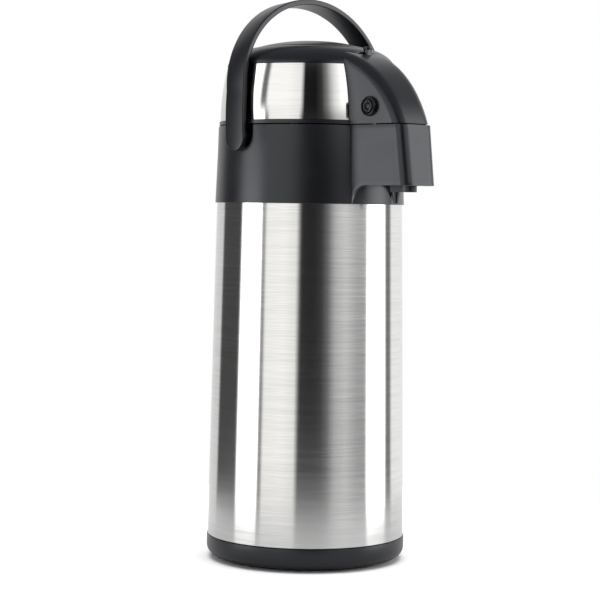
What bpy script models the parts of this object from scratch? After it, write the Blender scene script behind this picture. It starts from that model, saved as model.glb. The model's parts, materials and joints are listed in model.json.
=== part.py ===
"""Thermal coffee airpot: a vacuum flask with a press-button bellows pump in a hinged lid.

Metres, +Z up. The origin is the centre of the rubber pad that it stands on. The pouring nose
points to -Y, and the carrying handle turns about an axis along X.
"""

import math

import bmesh
import bpy
from mathutils import Matrix, Vector

# ---- Driving dimensions ----
BODY_RADIUS_BASE = 0.0872
BODY_RADIUS_TOP = 0.0821
BASE_HEIGHT = 0.0206
STEEL_HEIGHT = 0.2938
COLLAR_HEIGHT = 0.0669
BAND_HEIGHT = 0.0483
DOME_HEIGHT = 0.0168
NOSE_REACH = 0.1400
NOSE_HALF_WIDTH = 0.0247
NECK_RADIUS = 0.0320
BUTTON_RADIUS = 0.0495
BUTTON_TRAVEL = 0.0200
HANDLE_WIDTH = 0.0230
HANDLE_THICKNESS = 0.0048
HANDLE_RISE = 0.1238
HANDLE_LEAN = math.radians(4.5)

# ---- Walls and clearances ----
GAP = 0.0003
SEAM = 0.0010
STEEL_WALL = 0.0010
PLASTIC_WALL = 0.0030
BAND_WALL = 0.0008
LID_WALL = 0.0022
BORE_GAP = 0.0003

# ---- Facets round a full turn ----
LARGE_TURN = 48
MEDIUM_TURN = 32
SMALL_TURN = 16

# ---- Levels, from the table up ----
PAD_THICKNESS = 0.0015
FOOT_BOTTOM = PAD_THICKNESS + GAP
FOOT_TOP = FOOT_BOTTOM + 0.0024
GLIDE_TOP = FOOT_TOP + GAP + 0.0008
BASE_FLOOR = GLIDE_TOP + GAP
STEEL_BOTTOM = BASE_HEIGHT + GAP
STEEL_TOP = BASE_HEIGHT + STEEL_HEIGHT
COLLAR_BOTTOM = STEEL_TOP + GAP
COLLAR_TOP = COLLAR_BOTTOM + COLLAR_HEIGHT
LID_BOTTOM = COLLAR_TOP + SEAM
BAND_BOTTOM = LID_BOTTOM + 0.0031
BAND_TOP = BAND_BOTTOM + BAND_HEIGHT
DOME_TOP = BAND_TOP + DOME_HEIGHT
NECK_TOP = STEEL_TOP + 0.0388
DECK_BOTTOM = NECK_TOP - 0.0095

# ---- Radii that follow from the body ----
BASE_RADIUS = BODY_RADIUS_BASE + 0.0008
FOOT_RADIUS = BASE_RADIUS - 0.0108
COLLAR_RADIUS_BOTTOM = BODY_RADIUS_TOP + 0.0016
COLLAR_RADIUS_TOP = COLLAR_RADIUS_BOTTOM - 0.0023
LID_RIM_RADIUS = COLLAR_RADIUS_TOP - 0.0006
LID_RADIUS = LID_RIM_RADIUS - 0.0008
BAND_DROP = 0.0057
BAND_TOP_RADIUS = LID_RADIUS - BAND_DROP
BUTTON_OPENING = BUTTON_RADIUS + 0.0005

# ---- Nose ----
NOSE_TAPER = 0.100
NOSE_CORNER = 0.0090
NOSE_LOW = STEEL_TOP + 0.0163
NOSE_SEAM_REACH = NOSE_REACH - 0.0064
NOSE_ARCH_RADIUS = 0.0145
NOSE_ARC_REACH = NOSE_REACH - 0.0005
NOSE_ARC_BACK = 0.0400
NOSE_ARC_HEIGHT = 0.1080
NOSE_ARC_FOOT = LID_BOTTOM - 0.0426

# ---- Handle ----
PIVOT_Z = COLLAR_TOP - 0.0109
HANDLE_ARM_OUTER = COLLAR_RADIUS_TOP + 0.0070
HANDLE_SHOULDER = 0.0410
HANDLE_SHOULDER_OUTER = HANDLE_ARM_OUTER - 0.0029
POCKET_FLOOR = COLLAR_RADIUS_TOP - 0.0054
POCKET_RADIUS = 0.0155
HUB_RADIUS = 0.0080
PIN_RADIUS = 0.0025

# ---- Lid hinge ----
HINGE_Y = COLLAR_RADIUS_TOP - 0.0104
HINGE_Z = LID_BOTTOM + 0.0024
HINGE_PIN_RADIUS = 0.0015
LUG_RADIUS = 0.0036

# ---- Pump ----
PLATE_BOTTOM = LID_BOTTOM + 0.0006
PLATE_TOP = PLATE_BOTTOM + 0.0030
BUTTON_EDGE = DOME_TOP + 0.0008
BUTTON_APEX = BUTTON_EDGE + 0.0064
BUTTON_SKIRT = BUTTON_EDGE - 0.0250
BELLOWS_RADIUS = 0.0300
BELLOWS_TOP = BUTTON_EDGE - 0.0146
AIR_PORT_X = 0.0170
AIR_PORT_RADIUS = 0.0030
TUBE_RADIUS = 0.0050
TUBE_BORE = 0.0038
DUCT_RISE = NECK_TOP + 0.0165

# ---- Latches and lock ----
LATCH_S = 0.0990
LATCH_Z = LID_BOTTOM + 0.0144
LATCH_RADIUS = 0.0083
LATCH_PROUD = 0.0035
HOOK_X = 0.0160
LOCK_S = 0.0680
LOCK_X = 0.0035
LOCK_TRAVEL = 0.0080
LOCK_FORWARD = (LOCK_S - NOSE_ARC_BACK) / (NOSE_ARC_REACH - NOSE_ARC_BACK)
LOCK_FACE = NOSE_ARC_FOOT + NOSE_ARC_HEIGHT * math.sqrt(1.0 - LOCK_FORWARD ** 2)
TONGUE_HALF = 0.0025

parts = None
cutters = None


# ---------------------------------------------------------------- scene and helpers

def clear_scene():
    for obj in list(bpy.data.objects):
        bpy.data.objects.remove(obj, do_unlink=True)


def new_collection(name, hidden=False):
    collection = bpy.data.collections.new(name)
    bpy.context.scene.collection.children.link(collection)
    collection.hide_render = hidden
    return collection


def make_material(name, colour, roughness, metallic):
    made = bpy.data.materials.new(name)
    made.use_nodes = True
    shader = made.node_tree.nodes["Principled BSDF"]
    shader.inputs["Base Color"].default_value = (*colour, 1.0)
    shader.inputs["Roughness"].default_value = roughness
    shader.inputs["Metallic"].default_value = metallic
    return made


def add_object(name, mesh, collection):
    obj = bpy.data.objects.new(name, mesh)
    collection.objects.link(obj)
    return obj


def as_cutter(obj):
    """Moves a helper to the cutters, where it isn't rendered."""
    for collection in list(obj.users_collection):
        collection.objects.unlink(obj)
    cutters.objects.link(obj)
    obj.hide_render = True
    obj.display_type = "WIRE"
    return obj


def finish(obj, material):
    """Gives a piece its material and smooth round faces."""
    obj.data.materials.clear()
    obj.data.materials.append(material)
    obj.data.shade_smooth()
    obj.data.set_sharp_from_angle(angle=math.radians(35.0))
    return obj


def settle(obj):
    """Makes the modifiers' result the object's own mesh."""
    graph = bpy.context.evaluated_depsgraph_get()
    mesh = bpy.data.meshes.new_from_object(obj.evaluated_get(graph))
    obj.modifiers.clear()
    obj.data = mesh
    return obj


def boolean(target, other, operation):
    modifier = target.modifiers.new(operation.lower(), "BOOLEAN")
    modifier.operation = operation
    modifier.solver = "MANIFOLD"
    modifier.object = as_cutter(other)
    return target


def cut(target, *others):
    for other in others:
        boolean(target, other, "DIFFERENCE")
    return target


def fuse(target, *others):
    for other in others:
        boolean(target, other, "UNION")
    return target


def turned(name, profile, steps, closed=False, centre=(0.0, 0.0)):
    """A turned piece. The profile of (radius, height) runs down its outer side."""
    mesh = bpy.data.meshes.new(name)
    edges = [(i, i + 1) for i in range(len(profile) - 1)]
    if closed:
        edges.append((len(profile) - 1, 0))
    mesh.from_pydata([(r, 0.0, z) for r, z in profile], edges, [])
    obj = add_object(name, mesh, parts)
    obj.location = (centre[0], centre[1], 0.0)
    screw = obj.modifiers.new("turn", "SCREW")
    screw.axis = "Z"
    screw.angle = 2.0 * math.pi
    screw.steps = steps
    screw.render_steps = steps
    screw.use_merge_vertices = True
    screw.merge_threshold = 0.00001
    bpy.context.view_layer.update()
    return settle(obj)


def ring(name, outer, inner, low, high, steps, centre=(0.0, 0.0)):
    """A plain ring between two radii and two heights."""
    profile = [(outer, high), (outer, low), (inner, low), (inner, high)]
    return turned(name, profile, steps, closed=True, centre=centre)


def box(name, low, high):
    low = Vector(low)
    high = Vector(high)
    bm = bmesh.new()
    size = high - low
    place = Matrix.Translation((low + high) / 2.0) @ Matrix.Diagonal((*size, 1.0))
    bmesh.ops.create_cube(bm, size=1.0, matrix=place)
    mesh = bpy.data.meshes.new(name)
    bm.to_mesh(mesh)
    bm.free()
    return add_object(name, mesh, parts)


def rod(name, radius, start, end, steps=SMALL_TURN):
    """A round bar from one point to another."""
    start = Vector(start)
    end = Vector(end)
    along = end - start
    turn = along.to_track_quat("Z", "Y").to_matrix().to_4x4()
    bm = bmesh.new()
    bmesh.ops.create_cone(
        bm,
        cap_ends=True,
        cap_tris=False,
        segments=steps,
        radius1=radius,
        radius2=radius,
        depth=along.length,
        matrix=Matrix.Translation((start + end) / 2.0) @ turn,
    )
    mesh = bpy.data.meshes.new(name)
    bm.to_mesh(mesh)
    bm.free()
    return add_object(name, mesh, parts)


def mesh_from_curve(curve_object):
    """A welded mesh object in a curve object's place."""
    bpy.context.view_layer.update()
    graph = bpy.context.evaluated_depsgraph_get()
    mesh = bpy.data.meshes.new_from_object(curve_object.evaluated_get(graph))
    bm = bmesh.new()
    bm.from_mesh(mesh)
    bmesh.ops.remove_doubles(bm, verts=bm.verts, dist=0.00001)
    bm.transform(curve_object.matrix_world)
    bmesh.ops.recalc_face_normals(bm, faces=bm.faces)
    bm.to_mesh(mesh)
    bm.free()
    name = curve_object.name
    bpy.data.objects.remove(curve_object, do_unlink=True)
    return add_object(name, mesh, parts)


SIDE_PLANE = Matrix(((0, 0, -1, 0), (-1, 0, 0, 0), (0, 1, 0, 0), (0, 0, 0, 1)))
FRONT_PLANE = Matrix(((1, 0, 0, 0), (0, 0, -1, 0), (0, 1, 0, 0), (0, 0, 0, 1)))


def plate(name, outline, thickness, plane):
    """A flat outline made solid. SIDE_PLANE takes (forward, up) points, FRONT_PLANE (x, up)."""
    curve = bpy.data.curves.new(name, "CURVE")
    curve.dimensions = "2D"
    curve.fill_mode = "BOTH"
    curve.extrude = thickness / 2.0
    spline = curve.splines.new("POLY")
    spline.points.add(len(outline) - 1)
    for point, (a, b) in zip(spline.points, outline):
        point.co = (a, b, 0.0, 1.0)
    spline.use_cyclic_u = True
    obj = add_object(name, curve, parts)
    obj.matrix_world = plane
    return mesh_from_curve(obj)


def bent_tube(name, points, radius, sides=1, solid=True):
    """A round bar or an open-ended skin along a line of points."""
    curve = bpy.data.curves.new(name, "CURVE")
    curve.dimensions = "3D"
    curve.bevel_depth = radius
    curve.bevel_resolution = sides
    curve.use_fill_caps = solid
    spline = curve.splines.new("POLY")
    spline.points.add(len(points) - 1)
    for point, place in zip(spline.points, points):
        point.co = (*place, 1.0)
    return mesh_from_curve(add_object(name, curve, parts))


def arc(centre, radius, start, end, count):
    """Points on an arc of a circle, angles in degrees."""
    found = []
    for i in range(count + 1):
        angle = math.radians(start + (end - start) * i / count)
        found.append((centre[0] + radius * math.cos(angle), centre[1] + radius * math.sin(angle)))
    return found


# ---------------------------------------------------------------- base that turns on its foot

BOSS_RADIUS = 0.0080
BOSS_TOP = BASE_FLOOR + 0.0064
BASE_FLOOR_TOP = BASE_FLOOR + 0.0025
SCREW_SHANK = 0.0018


def make_foot(rubber, plastic, nylon, steel):
    pad = turned("foot_pad", [(0, PAD_THICKNESS), (FOOT_RADIUS - 0.003, PAD_THICKNESS),
                              (FOOT_RADIUS - 0.003, 0), (0, 0)], MEDIUM_TURN)
    finish(pad, rubber)
    bore = SCREW_SHANK + BORE_GAP
    foot_profile = [
        (0, FOOT_BOTTOM + 0.0012),
        (bore, FOOT_BOTTOM + 0.0012),
        (bore, BOSS_TOP),
        (BOSS_RADIUS, BOSS_TOP),
        (BOSS_RADIUS, FOOT_TOP),
        (FOOT_RADIUS, FOOT_TOP),
        (FOOT_RADIUS, FOOT_BOTTOM),
        (0, FOOT_BOTTOM),
    ]
    finish(turned("turntable_foot", foot_profile, MEDIUM_TURN), plastic)
    glide = ring("glide_ring", FOOT_RADIUS * 0.82, FOOT_RADIUS * 0.76,
                 FOOT_TOP + GAP, GLIDE_TOP, MEDIUM_TURN)
    finish(glide, nylon)
    washer_low = BOSS_TOP + GAP
    washer_high = washer_low + 0.0010
    finish(ring("swivel_washer", 0.0140, bore, washer_low, washer_high, SMALL_TURN), steel)
    head_low = washer_high + GAP
    screw_profile = [
        (0, head_low + 0.0024),
        (0.0044, head_low + 0.0018),
        (0.0050, head_low),
        (SCREW_SHANK, head_low),
        (SCREW_SHANK, FOOT_BOTTOM + 0.0020),
        (0, FOOT_BOTTOM + 0.0020),
    ]
    finish(turned("swivel_screw", screw_profile, SMALL_TURN), steel)


def make_base(plastic):
    lip = BASE_RADIUS - 0.0080
    inner = BASE_RADIUS - 0.0035
    hub_bore = BOSS_RADIUS + BORE_GAP
    profile = [
        (BASE_RADIUS, BASE_HEIGHT),
        (BASE_RADIUS, 0.0105),
        (BASE_RADIUS - 0.0008, 0.0072),
        (BASE_RADIUS - 0.0028, 0.0045),
        (BASE_RADIUS - 0.0062, 0.0024),
        (lip, 0.0024),
        (lip, BASE_FLOOR),
        (hub_bore, BASE_FLOOR),
        (hub_bore, BOSS_TOP - GAP),
        (0.0200, BOSS_TOP - GAP),
        (0.0200, BASE_FLOOR_TOP),
        (inner, BASE_FLOOR_TOP),
        (inner, BASE_HEIGHT),
    ]
    base = turned("base_cup", profile, LARGE_TURN, closed=True)
    for x, y in base_screw_places():
        cut(base, rod("base_screw_hole", SCREW_SHANK + BORE_GAP, (x, y, 0), (x, y, BASE_HEIGHT)))
        cut(base, rod("base_screw_seat", 0.0036, (x, y, 0), (x, y, BASE_FLOOR + 0.0012)))
    return finish(settle(base), plastic)


def base_screw_places():
    reach = BASE_RADIUS * 0.45
    return [
        (reach * math.cos(angle), reach * math.sin(angle))
        for angle in (math.radians(a) for a in (90, 210, 330))
    ]


def make_base_screws(steel):
    top = STEEL_BOTTOM + 0.0045
    head_low = BASE_FLOOR + GAP
    head_high = BASE_FLOOR + 0.0009
    for number, place in enumerate(base_screw_places(), 1):
        profile = [
            (0, top),
            (SCREW_SHANK, top),
            (SCREW_SHANK, head_high),
            (0.0032, head_high),
            (0.0032, head_low - 0.0006),
            (0, head_low - 0.0006),
        ]
        finish(turned(f"base_screw_{number}", profile, 12, centre=place), steel)


# ---------------------------------------------------------------- vacuum flask

FLOOR_PLATE_Z = STEEL_BOTTOM + 0.0018
FLOOR_PLATE_TOP = FLOOR_PLATE_Z + 0.0015
VESSEL_FLOOR = FLOOR_PLATE_TOP + 0.0042
VESSEL_RADIUS = BODY_RADIUS_TOP - 0.0050
NECK_OUTER = NECK_RADIUS + STEEL_WALL
SHELL_NECK = NECK_OUTER + 0.0010
LIP_RADIUS = NECK_RADIUS + 0.0060


def body_radius(level):
    """The steel body's radius at a height given as a share of its own height."""
    return BODY_RADIUS_BASE + (BODY_RADIUS_TOP - BODY_RADIUS_BASE) * level ** 1.1


def make_flask(steel, plain_steel, rubber):
    shoulder_mid = (NECK_RADIUS + BODY_RADIUS_TOP) * 0.5
    levels = [0.66, 0.33]
    wall = [(body_radius(t), STEEL_BOTTOM + (STEEL_TOP - STEEL_BOTTOM) * t) for t in levels]
    skin = STEEL_WALL
    neck = SHELL_NECK + skin
    outside = [
        (neck, NECK_TOP - 0.0013),
        (neck, STEEL_TOP + 0.0270),
        (shoulder_mid, STEEL_TOP + 0.0205),
        (BODY_RADIUS_TOP - 0.0090, STEEL_TOP + 0.0120),
        (BODY_RADIUS_TOP - 0.0012, STEEL_TOP + 0.0075),
        (BODY_RADIUS_TOP, STEEL_TOP + 0.0020),
        *wall,
        (BODY_RADIUS_BASE, STEEL_BOTTOM),
    ]
    inside = [
        (BODY_RADIUS_BASE - skin, STEEL_BOTTOM),
        *[(r - skin, z) for r, z in reversed(wall)],
        (BODY_RADIUS_TOP - skin, STEEL_TOP + 0.0016),
        (BODY_RADIUS_TOP - 0.0012 - skin, STEEL_TOP + 0.0068),
        (BODY_RADIUS_TOP - 0.0094, STEEL_TOP + 0.0109),
        (shoulder_mid - 0.0004, STEEL_TOP + 0.0195),
        (SHELL_NECK, STEEL_TOP + 0.0262),
        (SHELL_NECK, NECK_TOP - 0.0013),
    ]
    finish(turned("outer_shell", outside + inside, LARGE_TURN, closed=True), steel)

    floor_radius = BODY_RADIUS_BASE - skin - 0.0006
    floor = turned("shell_bottom", [(0, FLOOR_PLATE_TOP), (floor_radius, FLOOR_PLATE_TOP),
                                    (floor_radius, FLOOR_PLATE_Z), (0, FLOOR_PLATE_Z)], MEDIUM_TURN)
    for x, y in base_screw_places():
        cut(floor, rod("floor_hole", SCREW_SHANK + BORE_GAP, (x, y, 0), (x, y, FLOOR_PLATE_TOP + 0.01)))
    finish(settle(floor), plain_steel)

    support = ring("vessel_support", BODY_RADIUS_BASE * 0.30, BODY_RADIUS_BASE * 0.12,
                   FLOOR_PLATE_TOP + GAP, VESSEL_FLOOR - GAP, MEDIUM_TURN)
    finish(support, rubber)

    vessel_inner = VESSEL_RADIUS - skin
    vessel_profile = [
        (0, VESSEL_FLOOR + skin),
        (vessel_inner - 0.0060, VESSEL_FLOOR + skin),
        (vessel_inner, VESSEL_FLOOR + 0.0070),
        (vessel_inner, STEEL_TOP - 0.0020),
        (vessel_inner - 0.0060, STEEL_TOP + 0.0060),
        (shoulder_mid - 0.0010, STEEL_TOP + 0.0138),
        (NECK_RADIUS, STEEL_TOP + 0.0216),
        (NECK_RADIUS, NECK_TOP),
        (LIP_RADIUS, NECK_TOP),
        (LIP_RADIUS, NECK_TOP - 0.0010),
        (NECK_OUTER, NECK_TOP - 0.0010),
        (NECK_OUTER, STEEL_TOP + 0.0222),
        (shoulder_mid, STEEL_TOP + 0.0148),
        (VESSEL_RADIUS - 0.0056, STEEL_TOP + 0.0068),
        (VESSEL_RADIUS, STEEL_TOP - 0.0016),
        (VESSEL_RADIUS, VESSEL_FLOOR + 0.0066),
        (VESSEL_RADIUS - 0.0064, VESSEL_FLOOR),
        (0, VESSEL_FLOOR),
    ]
    finish(turned("inner_vessel", vessel_profile, MEDIUM_TURN), plain_steel)


def make_neck(plastic, silicone, nylon):
    deck_top = DECK_BOTTOM + PLASTIC_WALL
    nut_inner = SHELL_NECK + STEEL_WALL + GAP
    finish(ring("neck_ring", nut_inner + 0.0100, nut_inner, deck_top + GAP,
                NECK_TOP - 0.0018, MEDIUM_TURN), nylon)
    gasket_low = NECK_TOP + GAP
    gasket_high = gasket_low + 0.0020
    finish(ring("neck_gasket", LIP_RADIUS - 0.0008, NECK_RADIUS + 0.0012,
                gasket_low, gasket_high, MEDIUM_TURN), silicone)
    flange_low = gasket_high + GAP
    flange_high = flange_low + 0.0030
    plug = NECK_RADIUS - 0.0012
    profile = [
        (0, flange_high),
        (LIP_RADIUS, flange_high),
        (LIP_RADIUS, flange_low),
        (plug, flange_low),
        (plug - 0.0010, flange_low - 0.0200),
        (0, flange_low - 0.0200),
    ]
    insert = turned("neck_insert", profile, MEDIUM_TURN)
    low = flange_low - 0.03
    high = flange_high + 0.01
    cut(insert, rod("tube_hole", TUBE_RADIUS + BORE_GAP, (0, 0, low), (0, 0, high)))
    cut(insert, rod("air_hole", AIR_PORT_RADIUS, (AIR_PORT_X, 0, low), (AIR_PORT_X, 0, high)))
    finish(settle(insert), plastic)
    return flange_high


# ---------------------------------------------------------------- collar with the lower nose

def nose_half_width(forward, inset):
    return NOSE_HALF_WIDTH - inset - NOSE_TAPER * (forward - BODY_RADIUS_TOP + 0.0040)


def lower_front(z, inset):
    """How far forward the lower nose's front face is at a height."""
    rise = (z - NOSE_LOW) / (COLLAR_TOP - NOSE_LOW)
    return NOSE_REACH - (NOSE_REACH - NOSE_SEAM_REACH) * rise - inset


def nose_block(name, outline, back, low, high, inset, corner):
    """A block with the outline as its side, tapered towards the front.

    The side edges are rounded, apart from those along its back, at its foot and at its top.
    """
    block = plate(name, outline, 2.0, SIDE_PLANE)
    bm = bmesh.new()
    bm.from_mesh(block.data)
    for vert in bm.verts:
        side = 1.0 if vert.co.x > 0.0 else -1.0
        vert.co.x = side * nose_half_width(-vert.co.y, inset)
    near = 0.00001
    edges = []
    for edge in bm.edges:
        a, b = (vert.co for vert in edge.verts)
        along_side = a.x * b.x > 0.0
        at_end = max(a.z, b.z) < low + near or min(a.z, b.z) > high - near
        at_back = min(a.y, b.y) > -back - near
        if along_side and not at_end and not at_back and edge.calc_face_angle(0.0) > 0.6:
            edges.append(edge)
    bmesh.ops.bevel(bm, geom=edges, offset=corner, offset_type="OFFSET", segments=4,
                    profile=0.5, affect="EDGES")
    bmesh.ops.remove_doubles(bm, verts=bm.verts, dist=0.00001)
    bmesh.ops.recalc_face_normals(bm, faces=bm.faces)
    bm.to_mesh(block.data)
    bm.free()
    return block


def lower_nose(name, inset, back, low, high):
    """The lower nose's outside shape, or a smaller one inside it."""
    outline = [
        (back, low),
        (lower_front(low, inset), low),
        (lower_front(high, inset), high),
        (back, high),
    ]
    return nose_block(name, outline, back, low, high, inset, NOSE_CORNER - inset)


def nose_underside_cutter():
    """What is below the lower nose: an arch from the collar up to the flat underside."""
    near = COLLAR_RADIUS_BOTTOM + 0.0015
    arch = arc((near + NOSE_ARCH_RADIUS, NOSE_LOW - NOSE_ARCH_RADIUS), NOSE_ARCH_RADIUS, 180, 90, 6)
    far = NOSE_REACH + 0.02
    outline = [(near, COLLAR_BOTTOM - 0.01), *arch, (far, NOSE_LOW), (far, COLLAR_BOTTOM - 0.01)]
    return plate("underside_cut", outline, 0.12, SIDE_PLANE)


def make_collar(plastic):
    top_inner = COLLAR_RADIUS_TOP - 0.0032
    sleeve = BODY_RADIUS_TOP + GAP
    deck_top = DECK_BOTTOM + PLASTIC_WALL
    neck_hole = LIP_RADIUS + 0.0010
    waist_z = COLLAR_BOTTOM + 0.0453
    waist = COLLAR_RADIUS_TOP + 0.0005
    spare = 0.0040
    above = COLLAR_TOP + spare
    below = COLLAR_BOTTOM - spare
    outside = [
        (0, above),
        (COLLAR_RADIUS_TOP, above),
        (COLLAR_RADIUS_TOP, COLLAR_TOP),
        (waist, waist_z),
        (COLLAR_RADIUS_BOTTOM, COLLAR_BOTTOM),
        (COLLAR_RADIUS_BOTTOM, below),
        (0, below),
    ]
    collar = turned("collar", outside, LARGE_TURN)

    # The lower nose is arched and hollowed from below.
    nose = lower_nose("nose_skin", 0.0, COLLAR_RADIUS_TOP * 0.6, below, above)
    cut(nose, nose_underside_cutter())
    back = COLLAR_RADIUS_BOTTOM + 0.0030
    cut(nose, lower_nose("nose_hollow", PLASTIC_WALL, back, below - spare, above + spare))
    fuse(collar, settle(nose))

    # The inside, which leaves a deck round the flask's neck.
    inside = [
        (0, above + spare),
        (top_inner, above + spare),
        (top_inner + 0.0002, deck_top),
        (neck_hole, deck_top),
        (neck_hole, DECK_BOTTOM),
        (top_inner + 0.0002, DECK_BOTTOM),
        (top_inner + 0.0005, STEEL_TOP + 0.0120),
        (sleeve, STEEL_TOP + 0.0088),
        (sleeve, below - spare),
        (0, below - spare),
    ]
    cut(collar, turned("collar_space", inside, LARGE_TURN))

    # A window for the spout duct.
    window = TUBE_RADIUS + 0.0020
    cut(collar, box("duct_window", (-window, -back - 0.004, DUCT_RISE - window),
                    (window, -top_inner + 0.004, DUCT_RISE + window)))

    # A block behind each handle pocket, the pocket itself, and the pin's hole.
    wall_in = POCKET_FLOOR - PLASTIC_WALL
    half = POCKET_RADIUS + 0.0030
    pocket_centre = PIVOT_Z + 0.0040
    for side in (-1, 1):
        x0, x1 = sorted((side * wall_in, side * (top_inner + 0.0005)))
        fuse(collar, box("pocket_block", (x0, -half, deck_top - 0.001), (x1, half, above - 0.001)))
    wide = NOSE_REACH + 0.02
    cut(collar, box("above_seam", (-wide, -wide, COLLAR_TOP), (wide, wide, above + spare)))
    cut(collar, box("below_collar", (-wide, -wide, below - spare), (wide, wide, COLLAR_BOTTOM)))
    for side in (-1, 1):
        floor = side * POCKET_FLOOR
        far = side * (COLLAR_RADIUS_BOTTOM + 0.01)
        round_end = rod("pocket_round", POCKET_RADIUS, (floor, 0, pocket_centre),
                        (far, 0, pocket_centre), 32)
        x0, x1 = sorted((floor, far))
        upper = box("pocket_upper", (x0, -POCKET_RADIUS, pocket_centre),
                    (x1, POCKET_RADIUS, COLLAR_TOP + 0.01))
        cut(collar, round_end, upper)
        hole = rod("pin_hole", PIN_RADIUS + BORE_GAP, (side * (wall_in - 0.01), 0, PIVOT_Z),
                   (floor + side * 0.002, 0, PIVOT_Z))
        cut(collar, hole)

    # Two lugs at the back that hold the lid's hinge pin.
    for side in (-1, 1):
        x0, x1 = sorted((side * 0.0090, side * 0.0150))
        half_lug = LUG_RADIUS * 0.92
        lug = box("hinge_lug", (x0, HINGE_Y - half_lug, deck_top - 0.001),
                  (x1, HINGE_Y + half_lug, HINGE_Z - LUG_RADIUS * 0.2))
        eye = rod("hinge_eye", LUG_RADIUS, (x0, HINGE_Y, HINGE_Z), (x1, HINGE_Y, HINGE_Z))
        fuse(collar, lug, eye)
    cut(collar, rod("hinge_hole", HINGE_PIN_RADIUS + BORE_GAP, (-0.02, HINGE_Y, HINGE_Z),
                    (0.02, HINGE_Y, HINGE_Z), 16))
    return finish(settle(collar), plastic)


def make_pins(steel):
    wall_in = POCKET_FLOOR - PLASTIC_WALL
    for side, word in ((-1, "left"), (1, "right")):
        head_out = side * (wall_in - GAP)
        head_in = side * (wall_in - GAP - 0.0018)
        pin = rod(f"handle_pin_{word}", PIN_RADIUS, (head_out - side * 0.001, 0, PIVOT_Z),
                  (side * (HANDLE_ARM_OUTER - HANDLE_THICKNESS + 0.0006), 0, PIVOT_Z), 16)
        fuse(pin, rod("pin_head", PIN_RADIUS + 0.0020, (head_in, 0, PIVOT_Z), (head_out, 0, PIVOT_Z), 16))
        finish(settle(pin), steel)
    hinge = rod("hinge_pin", HINGE_PIN_RADIUS, (-0.0165, HINGE_Y, HINGE_Z),
                (0.0165, HINGE_Y, HINGE_Z), 16)
    finish(hinge, steel)


# ---------------------------------------------------------------- liquid path

SPOUT_S = 0.1090
COVER_LOW = NOSE_LOW + 0.0025
COVER_HIGH = COVER_LOW + 0.0020


def make_liquid_path(plastic, plain_steel, silicone):
    tube_low = VESSEL_FLOOR + 0.0050
    tube_high = NECK_TOP - 0.0090
    finish(ring("dip_tube", TUBE_RADIUS, TUBE_BORE, tube_low, tube_high, SMALL_TURN), plain_steel)
    cap_low = VESSEL_FLOOR + 0.0025
    cap_inner = TUBE_RADIUS + GAP
    strainer = turned("tube_strainer", [
        (0, cap_low + 0.0012),
        (cap_inner, cap_low + 0.0012),
        (cap_inner, cap_low + 0.0100),
        (cap_inner + 0.0015, cap_low + 0.0100),
        (cap_inner + 0.0015, cap_low),
        (0, cap_low),
    ], SMALL_TURN)
    slot = cap_inner + 0.01
    cut(strainer, box("strainer_slot", (-slot, -0.0010, cap_low - 0.001), (slot, 0.0010, cap_low + 0.0022)))
    finish(settle(strainer), plastic)

    bend = 0.0090
    rise = [(0.0, tube_high + GAP)]
    first = arc((bend, DUCT_RISE - bend), bend, 180, 90, 5)
    second = arc((SPOUT_S - bend, DUCT_RISE - bend), bend, 90, 0, 5)
    drop = [(SPOUT_S, COVER_HIGH + GAP)]
    route = [(0.0, -s, z) for s, z in rise + first + second + drop]
    duct = bent_tube("spout_duct", route, TUBE_RADIUS, sides=4, solid=False)
    wall = duct.modifiers.new("wall", "SOLIDIFY")
    wall.thickness = TUBE_RADIUS - TUBE_BORE
    wall.offset = -1.0
    finish(settle(duct), silicone)


def make_nose_cover(plastic):
    back = COLLAR_RADIUS_BOTTOM + 0.0030 + GAP
    cover = lower_nose("nose_cover", PLASTIC_WALL + GAP, back, COVER_LOW, COVER_HIGH)
    boss_low = NOSE_LOW - 0.0055
    boss = box("cover_boss", (-0.0070, -SPOUT_S - 0.0150, boss_low), (0.0070, -SPOUT_S, COVER_LOW + 0.001))
    front = rod("cover_boss_end", 0.0070, (0, -SPOUT_S - 0.0150, boss_low),
                (0, -SPOUT_S - 0.0150, COVER_LOW + 0.001))
    back_end = rod("cover_boss_back", 0.0070, (0, -SPOUT_S, boss_low), (0, -SPOUT_S, COVER_LOW + 0.001))
    fuse(cover, boss, front, back_end)
    cut(cover, rod("nozzle_hole", 0.0045 + BORE_GAP, (0, -SPOUT_S, boss_low - 0.01),
                   (0, -SPOUT_S, COVER_HIGH + 0.01)))
    return finish(settle(cover), plastic)


def make_nozzle(plastic):
    low = STEEL_TOP + 0.0012
    profile = [
        (0.0030, COVER_HIGH - GAP),
        (0.0045, COVER_HIGH - GAP),
        (0.0045, NOSE_LOW - 0.0050),
        (0.0026, low),
        (0.0016, low),
        (0.0030, NOSE_LOW - 0.0040),
    ]
    nozzle = turned("nozzle", profile, SMALL_TURN, closed=True, centre=(0.0, -SPOUT_S))
    return finish(nozzle, plastic)


# ---------------------------------------------------------------- lid

def band_radius(z):
    """The lid's side: a shallow barrel that draws in towards the top."""
    rise = (z - BAND_BOTTOM) / BAND_HEIGHT
    return LID_RADIUS - BAND_DROP * rise * rise


def dome_profile(inset, count=5):
    """The lid's round-over from the band's top to the button's opening, from the inside out."""
    power = 2.0 / 1.7
    start = BUTTON_OPENING
    found = []
    for i in range(count + 1):
        turn = math.radians(90.0 * i / count)
        across = max(math.cos(math.pi / 2 - turn), 0.0) ** power
        up = max(math.cos(turn), 0.0) ** power
        r = start + (BAND_TOP_RADIUS - start) * across
        found.append((r - inset * across, BAND_TOP + DOME_HEIGHT * up - inset * (0.4 + 0.6 * up)))
    return found


def band_levels(low, high, count=4):
    return [high + (low - high) * i / count for i in range(count + 1)]


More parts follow.
